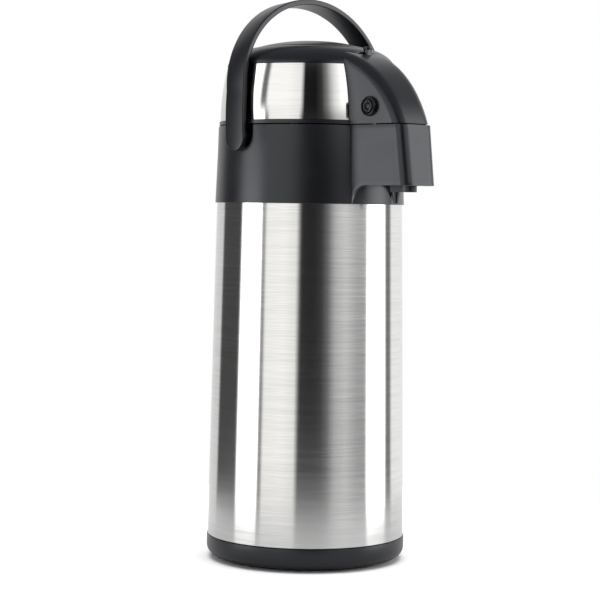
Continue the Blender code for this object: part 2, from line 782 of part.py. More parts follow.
def upper_nose(name, inset, bottom):
    """The lid's nose, whose side is part of an ellipse."""
    reach = NOSE_ARC_REACH - NOSE_ARC_BACK - inset
    height = NOSE_ARC_HEIGHT - inset
    start = math.degrees(math.asin((bottom - NOSE_ARC_FOOT) / height))
    count = 9
    end = math.degrees(math.acos((BUTTON_OPENING + 0.0040 - NOSE_ARC_BACK) / reach))
    curve = []
    for i in range(count + 1):
        angle = math.radians(start + (end - start) * i / count)
        curve.append((NOSE_ARC_BACK + reach * math.cos(angle), NOSE_ARC_FOOT + height * math.sin(angle)))
    back = curve[-1][0]
    outline = [(back, bottom), *curve]
    return nose_block(name, outline, back, bottom, DOME_TOP + 0.1, inset, NOSE_CORNER - inset * 0.5)


def make_lid(plastic):
    skin = BAND_WALL + GAP + LID_WALL
    depth = BAND_WALL + GAP
    groove = [(band_radius(z) - depth, z) for z in band_levels(BAND_BOTTOM, BAND_TOP)]
    spare = LID_BOTTOM - 0.0040
    outer = [
        *dome_profile(0.0),
        *groove,
        (LID_RIM_RADIUS, BAND_BOTTOM),
        (LID_RIM_RADIUS, spare),
        (BUTTON_OPENING, spare),
    ]
    lid = turned("lid_shell", outer, LARGE_TURN, closed=True)
    fuse(lid, upper_nose("lid_nose", 0.0, spare))
    wide = NOSE_REACH + 0.02
    cut(lid, box("below_seam", (-wide, -wide, spare - 0.02), (wide, wide, LID_BOTTOM)))

    inner_side = [(band_radius(z) - skin, z) for z in band_levels(BAND_BOTTOM, BAND_TOP, 2)]
    low = LID_BOTTOM - 0.012
    hollow = [
        (0, dome_profile(skin, 3)[0][1]),
        *dome_profile(skin, 3),
        *inner_side[1:],
        (LID_RADIUS - skin, low),
        (0, low),
    ]
    space = turned("lid_hollow", hollow, LARGE_TURN)
    for x, y in lid_screw_places():
        cut(space, rod("lid_post", 0.0045, (x, y, PLATE_TOP + GAP), (x, y, BUTTON_APEX), 12))
    cut(lid, settle(space))
    cut(lid, upper_nose("nose_hollow_upper", 0.0026, LID_BOTTOM - 0.006))
    for x, y in lid_screw_places():
        cut(lid, rod("post_hole", 0.0015 + BORE_GAP, (x, y, LID_BOTTOM), (x, y, PLATE_TOP + 0.014), 12))

    latch_hole = LATCH_RADIUS + BORE_GAP
    cut(lid, rod("latch_holes", latch_hole, (-0.04, -LATCH_S, LATCH_Z), (0.04, -LATCH_S, LATCH_Z), 24))
    slot_low = LOCK_X - LOCK_TRAVEL - 0.0036
    slot_high = LOCK_X + 0.0036
    cut(lid, box("lock_slot", (slot_low, -LOCK_S - 0.0023, BAND_TOP - 0.004),
                 (slot_high, -LOCK_S + 0.0023, BUTTON_APEX)))
    notch = 0.0168
    cut(lid, box("hinge_notch", (-notch, HINGE_Y - 0.006, LID_BOTTOM - 0.001),
                 (notch, HINGE_Y + 0.0056, HINGE_Z + LUG_RADIUS + 0.0010)))
    return finish(settle(lid), plastic)


def make_band(steel):
    top = BAND_TOP - GAP
    bottom = BAND_BOTTOM + GAP
    outside = [(band_radius(z), z) for z in band_levels(bottom, top)]
    inside = [(band_radius(z) - BAND_WALL, z) for z in band_levels(top, bottom)]
    band = turned("lid_band", outside + inside, LARGE_TURN, closed=True)
    cut(band, upper_nose("band_end_cut", -GAP, LID_BOTTOM - 0.004))
    return finish(settle(band), steel)


def lid_screw_places():
    reach = (BAND_TOP_RADIUS - BUTTON_OPENING) * 0.62 + BUTTON_OPENING
    return [
        (reach * math.cos(angle), reach * math.sin(angle))
        for angle in (math.radians(a) for a in (35, 145, 215, 325))
    ]


def make_lid_plate(plastic, steel, silicone, insert_top):
    radius = LID_RADIUS - BAND_WALL - GAP - LID_WALL - GAP - 0.0002
    port_low = insert_top + GAP + 0.0024
    disc = turned("lid_plate", [(0, PLATE_TOP), (radius, PLATE_TOP), (radius, PLATE_BOTTOM),
                                (0, PLATE_BOTTOM)], MEDIUM_TURN)
    fuse(disc, rod("air_spigot", AIR_PORT_RADIUS + 0.0022, (AIR_PORT_X, 0, port_low),
                   (AIR_PORT_X, 0, PLATE_BOTTOM + 0.001)))
    cut(disc, rod("air_bore", AIR_PORT_RADIUS, (AIR_PORT_X, 0, port_low - 0.01),
                  (AIR_PORT_X, 0, PLATE_TOP + 0.01)))
    cut(disc, rod("intake_bore", 0.0030, (-0.0160, 0.0, PLATE_BOTTOM - 0.01),
                  (-0.0160, 0.0, PLATE_TOP + 0.01), 12))
    for x, y in lid_screw_places():
        cut(disc, rod("plate_hole", 0.0015 + BORE_GAP, (x, y, PLATE_BOTTOM - 0.01),
                      (x, y, PLATE_TOP + 0.01), 12))
    # The hinge barrel sits between the collar's lugs, and the plate is notched round them.
    notch = 0.0156
    rear = HINGE_Y - LUG_RADIUS - 0.0008
    cut(disc, box("plate_notch", (-notch, rear, PLATE_BOTTOM - 0.01), (notch, radius + 0.01, PLATE_TOP + 0.01)))
    barrel = LUG_RADIUS - 0.0003
    arm = box("barrel_arm", (-0.0084, rear - 0.004, PLATE_BOTTOM), (0.0084, HINGE_Y, PLATE_TOP))
    eye = rod("barrel", barrel, (-0.0084, HINGE_Y, HINGE_Z), (0.0084, HINGE_Y, HINGE_Z))
    fuse(disc, arm, eye)
    cut(disc, rod("barrel_bore", HINGE_PIN_RADIUS + BORE_GAP, (-0.02, HINGE_Y, HINGE_Z),
                  (0.02, HINGE_Y, HINGE_Z), 16))
    finish(settle(disc), plastic)

    finish(ring("pump_gasket", AIR_PORT_RADIUS + 0.0030, AIR_PORT_RADIUS + 0.0004,
                insert_top + GAP, port_low - GAP, SMALL_TURN, centre=(AIR_PORT_X, 0.0)), silicone)
    flap_high = PLATE_BOTTOM - GAP
    flap = turned("intake_flap", [(0, flap_high), (0.0055, flap_high), (0.0055, flap_high - 0.0008),
                                  (0, flap_high - 0.0008)], SMALL_TURN, centre=(-0.0160, 0.0))
    finish(flap, silicone)
    head_high = PLATE_BOTTOM - GAP
    for number, place in enumerate(lid_screw_places(), 1):
        profile = [
            (0, PLATE_TOP + 0.0120),
            (0.0015, PLATE_TOP + 0.0120),
            (0.0015, head_high),
            (0.0030, head_high),
            (0.0026, head_high - 0.0018),
            (0, head_high - 0.0018),
        ]
        finish(turned(f"lid_screw_{number}", profile, 12, centre=place), steel)


# ---------------------------------------------------------------- pump

def make_button(plastic):
    skirt = 0.0020
    edge = BUTTON_EDGE
    inner = BUTTON_RADIUS - skirt
    crown = []
    under = []
    for i in range(6):
        share = i / 5
        r = BUTTON_RADIUS * 0.975 * share
        crown.append((r, edge + (BUTTON_APEX - edge) * (1.0 - share ** 2.2)))
    for share in (0.93, 0.65, 0.2):
        r = inner * share
        under.append((r, edge - 0.0020 + (BUTTON_APEX - edge) * (1.0 - share ** 2.2)))
    boss_low = BELLOWS_TOP + GAP
    profile = [
        *crown,
        (BUTTON_RADIUS, edge - 0.0012),
        (BUTTON_RADIUS, BUTTON_SKIRT),
        (inner, BUTTON_SKIRT),
        (inner, edge - 0.0030),
        *under,
        (0.0080, boss_low),
        (0, boss_low),
    ]
    button = turned("pump_button", profile, MEDIUM_TURN + 12)
    side = TONGUE_HALF + 0.0009
    cut(button, box("lock_notch", (LOCK_X - side, -BUTTON_RADIUS - 0.005, BUTTON_SKIRT - 0.005),
                    (LOCK_X + side, -inner + 0.006, BUTTON_SKIRT + BUTTON_TRAVEL + 0.0008)))
    return finish(settle(button), plastic)


def make_bellows(rubber, steel):
    low = PLATE_TOP + GAP
    folds = 5
    wall = 0.0012
    foot = 0.0025
    valley = BELLOWS_RADIUS - 0.0060
    height = BELLOWS_TOP - 0.0020 - low - foot
    outside = [(0, BELLOWS_TOP), (valley, BELLOWS_TOP)]
    inside = []
    for i in range(2 * folds):
        r = BELLOWS_RADIUS if i % 2 == 0 else valley
        z = low + foot + height * (1.0 - (i + 0.5) / (2 * folds))
        outside.append((r, z))
        inside.append((r - 1.6 * wall, z))
    outside += [(BELLOWS_RADIUS + 0.0020, low + foot), (BELLOWS_RADIUS + 0.0020, low)]
    inside = [(0, BELLOWS_TOP - wall), (valley - 0.0015, BELLOWS_TOP - wall), *inside]
    inside.append((valley - 0.0020, low))
    profile = outside + inside[::-1]
    finish(turned("bellows", profile, 24), rubber)

    turns = 6
    per_turn = 9
    wire = 0.0009
    coil = BELLOWS_RADIUS * 0.42
    bottom = low + wire
    top = BELLOWS_TOP - wall - GAP - wire
    points = []
    for i in range(turns * per_turn + 1):
        angle = 2.0 * math.pi * i / per_turn
        z = bottom + (top - bottom) * i / (turns * per_turn)
        points.append((coil * math.cos(angle), coil * math.sin(angle), z))
    finish(bent_tube("return_spring", points, wire), steel)


# ---------------------------------------------------------------- lock and latches

def make_lock(plastic):
    """A thumb knob in a slot, and the tongue that it moves under the button's skirt."""
    half = TONGUE_HALF
    plate_high = LOCK_FACE - 0.0049
    plate_low = plate_high - 0.0022
    tongue_high = BUTTON_SKIRT - 0.0012
    tongue_low = tongue_high - 0.0024
    leg_s = BUTTON_RADIUS + 0.0110
    top = LOCK_FACE + 0.0051
    lock = box("lock_slider", (LOCK_X - 0.0032, -LOCK_S - 0.0019, plate_low + 0.0005),
               (LOCK_X + 0.0032, -LOCK_S + 0.0019, top))
    tread = box("lock_plate", (LOCK_X - half, -LOCK_S - 0.0019, plate_low), (LOCK_X + half, -leg_s, plate_high))
    leg = box("lock_leg", (LOCK_X - half, -leg_s - 0.0028, tongue_low), (LOCK_X + half, -leg_s, plate_high))
    tongue = box("lock_tongue", (LOCK_X - half, -leg_s - 0.0010, tongue_low),
                 (LOCK_X + half, -BUTTON_RADIUS + 0.0032, tongue_high))
    knob = rod("lock_knob", 0.0040, (LOCK_X, -LOCK_S, top - 0.0010), (LOCK_X, -LOCK_S, top + 0.0014), 16)
    fuse(lock, tread, leg, tongue, knob)
    return finish(settle(lock), plastic)


def make_latches(plastic, steel):
    face = nose_half_width(LATCH_S, 0.0) + LATCH_PROUD
    hook_low = COLLAR_TOP - 0.0080
    for side, word in ((-1, "left"), (1, "right")):
        button = rod(f"latch_{word}", LATCH_RADIUS, (side * HOOK_X, -LATCH_S, LATCH_Z),
                     (side * face, -LATCH_S, LATCH_Z), 24)
        x0, x1 = sorted((side * HOOK_X, side * (HOOK_X + 0.0028)))
        fuse(button, box("latch_hook", (x0, -LATCH_S - 0.0040, hook_low),
                         (x1, -LATCH_S + 0.0040, LATCH_Z)))
        cut(button, rod("latch_dish", LATCH_RADIUS * 0.58, (side * (face - 0.0008), -LATCH_S, LATCH_Z),
                        (side * (face + 0.002), -LATCH_S, LATCH_Z), 20))
        finish(settle(button), plastic)
    turns = 6
    per_turn = 8
    wire = 0.0005
    coil = 0.0035
    end = HOOK_X - GAP - wire
    points = []
    for i in range(turns * per_turn + 1):
        angle = 2.0 * math.pi * i / per_turn
        x = -end + 2.0 * end * i / (turns * per_turn)
        points.append((x, -LATCH_S + coil * math.cos(angle), LATCH_Z + coil * math.sin(angle)))
    finish(bent_tube("latch_spring", points, wire), steel)


# ---------------------------------------------------------------- handle

def handle_edge(inset, count=14):
    """One side of the strap from the left pivot over the top to the right, as (x, up) points."""
    outer = HANDLE_ARM_OUTER - inset
    shoulder = HANDLE_SHOULDER_OUTER - inset
    rise = HANDLE_RISE - HANDLE_SHOULDER - inset
    found = [(-outer, 0.0)]
    for i in range(count + 1):
        angle = math.pi * i / count
        found.append((-shoulder * math.cos(angle), HANDLE_SHOULDER + rise * math.sin(angle)))
    found.append((outer, 0.0))
    return found


def make_handle(plastic):
    pivot = bpy.data.objects.new("handle_pivot", None)
    parts.objects.link(pivot)
    pivot.location = (0, 0, PIVOT_Z)
    outline = handle_edge(0.0) + handle_edge(HANDLE_THICKNESS)[::-1]
    strap = plate("handle", outline, HANDLE_WIDTH, FRONT_PLANE)
    inner = HANDLE_ARM_OUTER - HANDLE_THICKNESS
    for side in (-1, 1):
        end = rod("arm_end", HANDLE_WIDTH / 2, (side * inner, 0, 0), (side * HANDLE_ARM_OUTER, 0, 0), 28)
        hub = rod("arm_hub", HUB_RADIUS, (side * (POCKET_FLOOR + 0.0005), 0, 0),
                  (side * (inner + 0.001), 0, 0), 24)
        fuse(strap, end, hub)
    for side in (-1, 1):
        cut(strap, rod("hub_bore", PIN_RADIUS + BORE_GAP, (side * (POCKET_FLOOR - 0.002), 0, 0),
                       (side * (inner + 0.0012), 0, 0), 16))
    settle(strap)
    strap.parent = pivot
    pivot.rotation_euler = (-HANDLE_LEAN, 0, 0)
    return finish(strap, plastic)


# ---------------------------------------------------------------- assembly

def build():
    global parts, cutters
    clear_scene()
    parts = new_collection("thermal_airpot")
    cutters = new_collection("cutters", hidden=True)
    brushed = make_material("brushed_steel", (0.62, 0.61, 0.60), 0.28, 1.0)
    plain_steel = make_material("plain_steel", (0.55, 0.55, 0.56), 0.35, 1.0)
    black = make_material("black_plastic", (0.020, 0.020, 0.023), 0.42, 0.0)
    silicone = make_material("silicone", (0.55, 0.55, 0.53), 0.6, 0.0)
    rubber = make_material("black_rubber", (0.012, 0.012, 0.012), 0.8, 0.0)
    nylon = make_material("white_nylon", (0.75, 0.74, 0.70), 0.5, 0.0)

    make_foot(rubber, black, nylon, plain_steel)
    make_base(black)
    make_base_screws(plain_steel)
    make_flask(brushed, plain_steel, rubber)
    insert_top = make_neck(black, silicone, nylon)
    make_collar(black)
    make_pins(plain_steel)
    make_liquid_path(black, plain_steel, silicone)
    make_nose_cover(black)
    make_nozzle(black)
    make_lid(black)
    make_band(brushed)
    make_lid_plate(black, plain_steel, silicone, insert_top)
    make_button(black)
    make_bellows(rubber, plain_steel)
    make_lock(black)
    make_latches(black, plain_steel)
    make_handle(black)


build()
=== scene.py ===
"""The airpot's looks: smooth outer pieces round the CAD frame, materials, studio and camera.

Metres, +Z up, in the CAD model's frame. Forward means towards -Y, where the nose points, and
a forward distance from the axis is called s.
"""

import json
import math

import bmesh
import bpy
from mathutils import Matrix, Vector


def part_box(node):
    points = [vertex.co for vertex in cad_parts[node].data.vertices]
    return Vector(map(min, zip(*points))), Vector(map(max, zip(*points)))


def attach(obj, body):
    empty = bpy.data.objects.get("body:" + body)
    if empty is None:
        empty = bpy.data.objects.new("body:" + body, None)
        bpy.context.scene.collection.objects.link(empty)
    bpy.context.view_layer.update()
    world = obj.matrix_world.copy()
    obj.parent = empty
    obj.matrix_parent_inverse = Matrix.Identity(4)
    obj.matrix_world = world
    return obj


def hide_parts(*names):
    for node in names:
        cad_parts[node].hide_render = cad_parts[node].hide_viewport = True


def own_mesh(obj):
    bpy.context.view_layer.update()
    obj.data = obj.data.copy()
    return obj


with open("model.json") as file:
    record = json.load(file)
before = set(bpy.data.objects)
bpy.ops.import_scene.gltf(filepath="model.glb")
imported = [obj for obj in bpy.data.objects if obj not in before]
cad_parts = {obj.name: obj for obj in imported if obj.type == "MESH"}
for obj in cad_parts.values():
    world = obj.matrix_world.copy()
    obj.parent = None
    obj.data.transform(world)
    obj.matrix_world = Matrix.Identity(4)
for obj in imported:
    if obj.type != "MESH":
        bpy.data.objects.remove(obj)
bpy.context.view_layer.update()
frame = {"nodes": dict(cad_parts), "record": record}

# ---- Sizes read from the CAD nodes ----
STEEL_LOW, STEEL_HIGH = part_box("outer_shell")
COLLAR_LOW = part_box("collar")[0]
LID_LOW, LID_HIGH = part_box("lid_shell")
BASE_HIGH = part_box("base_cup")[1]
BUTTON_LOW, BUTTON_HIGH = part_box("pump_button")
HANDLE_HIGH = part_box("handle")[1]
BAND_LOW, BAND_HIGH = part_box("lid_band")
LATCH_LOW, LATCH_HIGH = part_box("latch_right")
LOCK_LOW, LOCK_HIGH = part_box("lock_slider")
NOZZLE_LOW, NOZZLE_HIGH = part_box("nozzle")

# ---- Sizes shared by the pieces here ----
STEEL_BOTTOM = STEEL_LOW.z
STEEL_TOP = 0.3144
BODY_RADIUS = STEEL_HIGH.x
BODY_TOP_RADIUS = 0.0821
COLLAR_BOTTOM = COLLAR_LOW.z
SEAM_LOW = 0.3816
SEAM_HIGH = LID_LOW.z
COLLAR_FOOT_RADIUS = 0.0837
COLLAR_RIM_RADIUS = 0.0814
LID_RIM_RADIUS = LID_HIGH.x
BAND_BOTTOM = 0.3857
BAND_TOP = 0.4340
BAND_RADIUS = 0.0800
BAND_DROP = 0.0057
DOME_TOP = 0.4508
BUTTON_RADIUS = BUTTON_HIGH.x
BUTTON_EDGE = 0.4516
BUTTON_OPENING = BUTTON_RADIUS + 0.0005
BUTTON_TRAVEL = 0.0200
LATCH_RADIUS = 0.0083
LATCH_Y = (LATCH_LOW.y + LATCH_HIGH.y) / 2
LATCH_Z = LATCH_HIGH.z - LATCH_RADIUS
LOCK_S = 0.0680
LOCK_X = 0.0035
LOCK_TRAVEL = 0.0080
HINGE_Y = 0.0710
HINGE_Z = 0.3850
NOSE_REACH = 0.1400
NOSE_LOW = 0.3307
NOSE_CORNER = 0.0090
NOSE_ARCH = 0.0145
NOSE_START = 0.0804
NOSE_HALF_WIDTH = 0.0247
NOSE_WIDTH_S = 0.0781
NOSE_TAPER = 0.100
PIVOT_Z = 0.3707
HANDLE_LEAN = math.radians(4.5)
ARM_OUTER = HANDLE_HIGH.x
STRAP_WIDTH = 0.0230
STRAP_THICKNESS = 0.0048
STRAP_RISE = 0.1238
POCKET_FLOOR = 0.0760
POCKET_RADIUS = 0.0155
ROUND = 160


# ---------------------------------------------------------------- mesh helpers

def add_mesh(name, verts, faces):
    mesh = bpy.data.meshes.new(name)
    mesh.from_pydata(verts, [], faces)
    mesh.validate()
    bm = bmesh.new()
    bm.from_mesh(mesh)
    bmesh.ops.recalc_face_normals(bm, faces=bm.faces)
    bm.to_mesh(mesh)
    bm.free()
    obj = bpy.data.objects.new(name, mesh)
    bpy.context.scene.collection.objects.link(obj)
    return obj


def smooth(obj, angle=32.0):
    obj.data.shade_smooth()
    obj.data.set_sharp_from_angle(angle=math.radians(angle))
    return obj


def softened(points, radius, closed=False):
    """The line of points with each corner rounded, by at most a third of its shorter side."""
    count = 3
    found = []
    last = len(points) - 1
    for i, point in enumerate(points):
        here = Vector(point)
        if not closed and i in (0, last):
            found.append(tuple(here))
            continue
        before = Vector(points[i - 1]) - here
        after = Vector(points[(i + 1) % len(points)]) - here
        reach = min(radius, before.length / 3, after.length / 3)
        turn = before.angle(after, math.pi)
        if turn > math.radians(165.0) or reach < 1e-6:
            found.append(tuple(here))
            continue
        start = here + before.normalized() * reach
        end = here + after.normalized() * reach
        for k in range(count + 1):
            t = k / count
            found.append(tuple(start * (1 - t) ** 2 + here * 2 * t * (1 - t) + end * t * t))
    return found


def lathe(name, profile, steps=ROUND, closed=True):
    """Turns a profile of (radius, height) about the Z axis."""
    verts = []
    index = []
    for r, z in profile:
        if r < 1e-6:
            index.append([len(verts)] * steps)
            verts.append((0.0, 0.0, z))
            continue
        row = []
        for j in range(steps):
            angle = 2.0 * math.pi * j / steps
            row.append(len(verts))
            verts.append((r * math.sin(angle), -r * math.cos(angle), z))
        index.append(row)
    faces = []
    rows = len(profile)
    for i in range(rows if closed else rows - 1):
        a = index[i]
        b = index[(i + 1) % rows]
        for j in range(steps):
            k = (j + 1) % steps
            corners = []
            for v in (a[j], a[k], b[k], b[j]):
                if v not in corners:
                    corners.append(v)
            if len(corners) > 2:
                faces.append(corners)
    return smooth(add_mesh(name, verts, faces))


def grid(name, rows):
    """A skin through rows of points."""
    verts = [point for row in rows for point in row]
    wide = len(rows[0])
    faces = []
    for i in range(len(rows) - 1):
        for j in range(wide - 1):
            a = i * wide + j
            faces.append((a, a + 1, a + wide + 1, a + wide))
    return add_mesh(name, verts, faces)


def loft(name, rings):
    """A closed tube through rings of points, with flat ends."""
    verts = [point for ring in rings for point in ring]
    wide = len(rings[0])
    faces = []
    for i in range(len(rings) - 1):
        for j in range(wide):
            k = (j + 1) % wide
            faces.append((i * wide + j, i * wide + k, (i + 1) * wide + k, (i + 1) * wide + j))
    faces.append(list(range(wide)))
    faces.append(list(range(len(verts) - wide, len(verts))))
    return add_mesh(name, verts, faces)


def bar(name, radius, start, end, steps=48, edge=0.0):
    """A round bar between two points, with softened rims."""
    start = Vector(start)
    end = Vector(end)
    along = end - start
    side = along.orthogonal().normalized()
    other = along.normalized().cross(side)
    rings = []
    stations = [(0.0, radius - edge), (edge, radius), (along.length - edge, radius),
                (along.length, radius - edge)]
    if edge == 0.0:
        stations = [stations[0], stations[3]]
    for far, r in stations:
        centre = start + along.normalized() * far
        ring = []
        for k in range(steps):
            angle = 2.0 * math.pi * k / steps
            ring.append(tuple(centre + side * (r * math.cos(angle)) + other * (r * math.sin(angle))))
        rings.append(ring)
    return smooth(loft(name, rings))


def block(name, low, high, edge=0.0004):
    """A box with bevelled edges."""
    low = Vector(low)
    high = Vector(high)
    bm = bmesh.new()
    where = Matrix.Translation((low + high) / 2) @ Matrix.Diagonal((*(high - low), 1.0))
    bmesh.ops.create_cube(bm, size=1.0, matrix=where)
    if edge > 0.0:
        bmesh.ops.bevel(bm, geom=bm.edges[:], offset=edge, segments=2, profile=0.5, affect="EDGES")
    mesh = bpy.data.meshes.new(name)
    bm.to_mesh(mesh)
    bm.free()
    obj = bpy.data.objects.new(name, mesh)
    bpy.context.scene.collection.objects.link(obj)
    return smooth(obj)


def settle(obj):
    """Makes the modifiers' result the object's own mesh."""
    graph = bpy.context.evaluated_depsgraph_get()
    mesh = bpy.data.meshes.new_from_object(obj.evaluated_get(graph))
    obj.modifiers.clear()
    obj.data = mesh
    return obj


def thicken(obj, thickness):
    """Gives a skin its wall, on the inner side."""
    wall = obj.modifiers.new("wall", "SOLIDIFY")
    wall.thickness = thickness
    wall.offset = -1.0
    return settle(obj)


def combine(obj, other, operation):
    """Adds the other piece to obj or takes it away, and deletes the other piece."""
    made = obj.modifiers.new("combine", "BOOLEAN")
    made.operation = operation
    made.solver = "MANIFOLD"
    made.object = other
    settle(obj)
    bpy.data.objects.remove(other, do_unlink=True)
    return obj


def joined(name, pieces):
    """Several meshes as one object."""
    bm = bmesh.new()
    for piece in pieces:
        bm.from_mesh(piece.data)
        bpy.data.objects.remove(piece, do_unlink=True)
    mesh = bpy.data.meshes.new(name)
    bm.to_mesh(mesh)
    bm.free()
    obj = bpy.data.objects.new(name, mesh)
    bpy.context.scene.collection.objects.link(obj)
    return smooth(obj)


def place(obj, body, material, slot, *nodes):
    """Gives a piece its material and its body, and hides the CAD nodes that it stands for."""
    obj.data.materials.clear()
    obj.data.materials.append(material)
    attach(obj, body)
    if nodes:
        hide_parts(*nodes)
    return obj


# ---------------------------------------------------------------- materials

def new_material(name, colour, roughness, metallic=0.0):
    made = bpy.data.materials.new(name)
    made.use_nodes = True
    tree = made.node_tree
    shader = tree.nodes["Principled BSDF"]
    shader.inputs["Base Color"].default_value = (*colour, 1.0)
    shader.inputs["Roughness"].default_value = roughness
    shader.inputs["Metallic"].default_value = metallic
    return made, tree, shader


def coordinates(tree, scale):
    where = tree.nodes.new("ShaderNodeTexCoord")
    mapping = tree.nodes.new("ShaderNodeMapping")
    mapping.inputs["Scale"].default_value = scale
    tree.links.new(where.outputs["Object"], mapping.inputs["Vector"])
    return mapping.outputs["Vector"]


def noise(tree, vector, scale, detail=2.0):
    made = tree.nodes.new("ShaderNodeTexNoise")
    made.inputs["Scale"].default_value = scale
    made.inputs["Detail"].default_value = detail
    tree.links.new(vector, made.inputs["Vector"])
    return made.outputs["Fac"]


def spread(tree, value, low, high):
    """Maps a noise's middle range to low..high."""
    made = tree.nodes.new("ShaderNodeMapRange")
    made.inputs["From Min"].default_value = 0.3
    made.inputs["From Max"].default_value = 0.7
    made.inputs["To Min"].default_value = low
    made.inputs["To Max"].default_value = high
    tree.links.new(value, made.inputs["Value"])
    return made.outputs["Result"]


def shades(tree, value, dark, light):
    made = tree.nodes.new("ShaderNodeMix")
    made.data_type = "RGBA"
    made.inputs["A"].default_value = (*dark, 1.0)
    made.inputs["B"].default_value = (*light, 1.0)
    tree.links.new(value, made.inputs["Factor"])
    return made.outputs["Result"]


def maths(tree, operation, *values):
    """A Math node's result, from numbers and other nodes' outputs."""
    made = tree.nodes.new("ShaderNodeMath")
    made.operation = operation
    for socket, value in zip(made.inputs, values):
        if isinstance(value, (int, float)):
            socket.default_value = value
        else:
            tree.links.new(value, socket)
    return made.outputs[0]


def bump(tree, shader, height, distance, strength=1.0):
    made = tree.nodes.new("ShaderNodeBump")
    made.inputs["Strength"].default_value = strength
    made.inputs["Distance"].default_value = distance
    tree.links.new(height, made.inputs["Height"])
    tree.links.new(made.outputs["Normal"], shader.inputs["Normal"])


def moulded(name, dark, light, rough_low, rough_high, grain=1500.0, depth=0.00003):
    """Moulded plastic or rubber: a fine grain, and slow changes of sheen."""
    made, tree, shader = new_material(name, light, rough_low)
    where = coordinates(tree, (1.0, 1.0, 1.0))
    cloud = noise(tree, where, 28.0, 3.0)
    tree.links.new(shades(tree, cloud, dark, light), shader.inputs["Base Color"])
    tree.links.new(spread(tree, cloud, rough_low, rough_high), shader.inputs["Roughness"])
    shader.inputs["Specular Tint"].default_value = (0.93, 0.95, 1.0, 1.0)
    bump(tree, shader, noise(tree, where, grain, 1.0), depth, 0.5)
    return made


def brushed(name, dark, light, roughness, anisotropy, streak):
    """Steel brushed round the body: fine level scratches, so that reflections spread up and down."""
    made, tree, shader = new_material(name, light, roughness, 1.0)
    fine = noise(tree, coordinates(tree, (30.0, 30.0, streak)), 1.0, 5.0)
    broad = noise(tree, coordinates(tree, (5.0, 5.0, streak * 0.25)), 1.0, 3.0)
    scratch = maths(tree, "MULTIPLY_ADD", broad, 0.35, maths(tree, "MULTIPLY", fine, 0.65))
    tree.links.new(shades(tree, spread(tree, scratch, 0.0, 1.0), dark, light), shader.inputs["Base Color"])
    tree.links.new(spread(tree, scratch, roughness * 0.9, roughness * 1.1), shader.inputs["Roughness"])
    shader.inputs["Anisotropic"].default_value = anisotropy
    shader.inputs["Anisotropic Rotation"].default_value = 0.25
    tangent = tree.nodes.new("ShaderNodeTangent")
    tangent.direction_type = "RADIAL"
    tangent.axis = "Z"
    tree.links.new(tangent.outputs["Tangent"], shader.inputs["Tangent"])
    bump(tree, shader, fine, 0.000004, 0.1)
    return made


def plain_metal(name, dark, light, roughness):
    made, tree, shader = new_material(name, light, roughness, 1.0)
    cloud = noise(tree, coordinates(tree, (1.0, 1.0, 1.0)), 60.0, 4.0)
    tree.links.new(shades(tree, cloud, dark, light), shader.inputs["Base Color"])
    tree.links.new(spread(tree, cloud, roughness * 0.8, roughness * 1.2), shader.inputs["Roughness"])
    bump(tree, shader, cloud, 0.00002, 0.3)
    return made


BLACK = moulded("satin_black", (0.0035, 0.0037, 0.0050), (0.0050, 0.0053, 0.0072), 0.28, 0.34)
BLACK_TOP = moulded("gloss_black", (0.004, 0.004, 0.0045), (0.006, 0.006, 0.0065), 0.20, 0.26, grain=900.0,
                    depth=0.00001)
STEEL = brushed("brushed_body", (0.58, 0.575, 0.57), (0.72, 0.715, 0.71), 0.15, 0.95, 1500.0)
BAND_STEEL = brushed("brushed_band", (0.60, 0.595, 0.585), (0.70, 0.695, 0.685), 0.08, 0.9, 2000.0)
DRAWN = plain_metal("drawn_steel", (0.50, 0.50, 0.51), (0.62, 0.62, 0.63), 0.32)
RUBBER = moulded("rubber_black", (0.008, 0.008, 0.008), (0.014, 0.014, 0.014), 0.75, 0.85, grain=800.0)
SILICONE = moulded("silicone_clear", (0.50, 0.50, 0.48), (0.58, 0.58, 0.56), 0.50, 0.60, grain=500.0)
NYLON = moulded("nylon_white", (0.70, 0.69, 0.65), (0.78, 0.77, 0.73), 0.40, 0.50, grain=700.0)

CAD_MATERIALS = {
    "brushed_steel": STEEL,
    "plain_steel": DRAWN,
    "black_plastic": BLACK,
    "silicone": SILICONE,
    "black_rubber": RUBBER,
    "white_nylon": NYLON,
}
SLOTS = {entry["node"]: entry["material_slot"] for entry in frame["record"]["subparts"]}
for node_name, node in frame["nodes"].items():
    node.data.materials.clear()
    node.data.materials.append(CAD_MATERIALS[SLOTS[node_name]])


# ---------------------------------------------------------------- steel body and base

def body_radius(share):
    return BODY_RADIUS + (BODY_TOP_RADIUS - BODY_RADIUS) * share ** 1.1


def make_body():
    skin = 0.0010
    height = STEEL_TOP - STEEL_BOTTOM
    outside = []
    count = 16
    for i in range(count + 1):
        share = 1.0 - i / count
        outside.append((body_radius(share), STEEL_BOTTOM + height * share))
    outside[-1] = (BODY_RADIUS, STEEL_BOTTOM + 0.0004)
    outside.append((BODY_RADIUS - 0.0004, STEEL_BOTTOM))
    inside = [(r - skin, z) for r, z in outside[::-1]]
    inside[0] = (BODY_RADIUS - skin, STEEL_BOTTOM)
    neck = 0.0350
    shoulder = [
        (neck, STEEL_TOP + 0.0375),
        (neck, STEEL_TOP + 0.0270),
        (0.0570, STEEL_TOP + 0.0205),
        (BODY_TOP_RADIUS - 0.0090, STEEL_TOP + 0.0120),
        (BODY_TOP_RADIUS - 0.0012, STEEL_TOP + 0.0070),
        (BODY_TOP_RADIUS, STEEL_TOP + 0.0020),
    ]
    under = [(r - skin, z - skin * 0.8) for r, z in shoulder[:0:-1]]
    under.append((neck - skin, STEEL_TOP + 0.0375))
    body = lathe("steel_body", shoulder + outside + inside[:-1] + under)
    place(body, "flask", STEEL, "brushed_steel", "outer_shell")


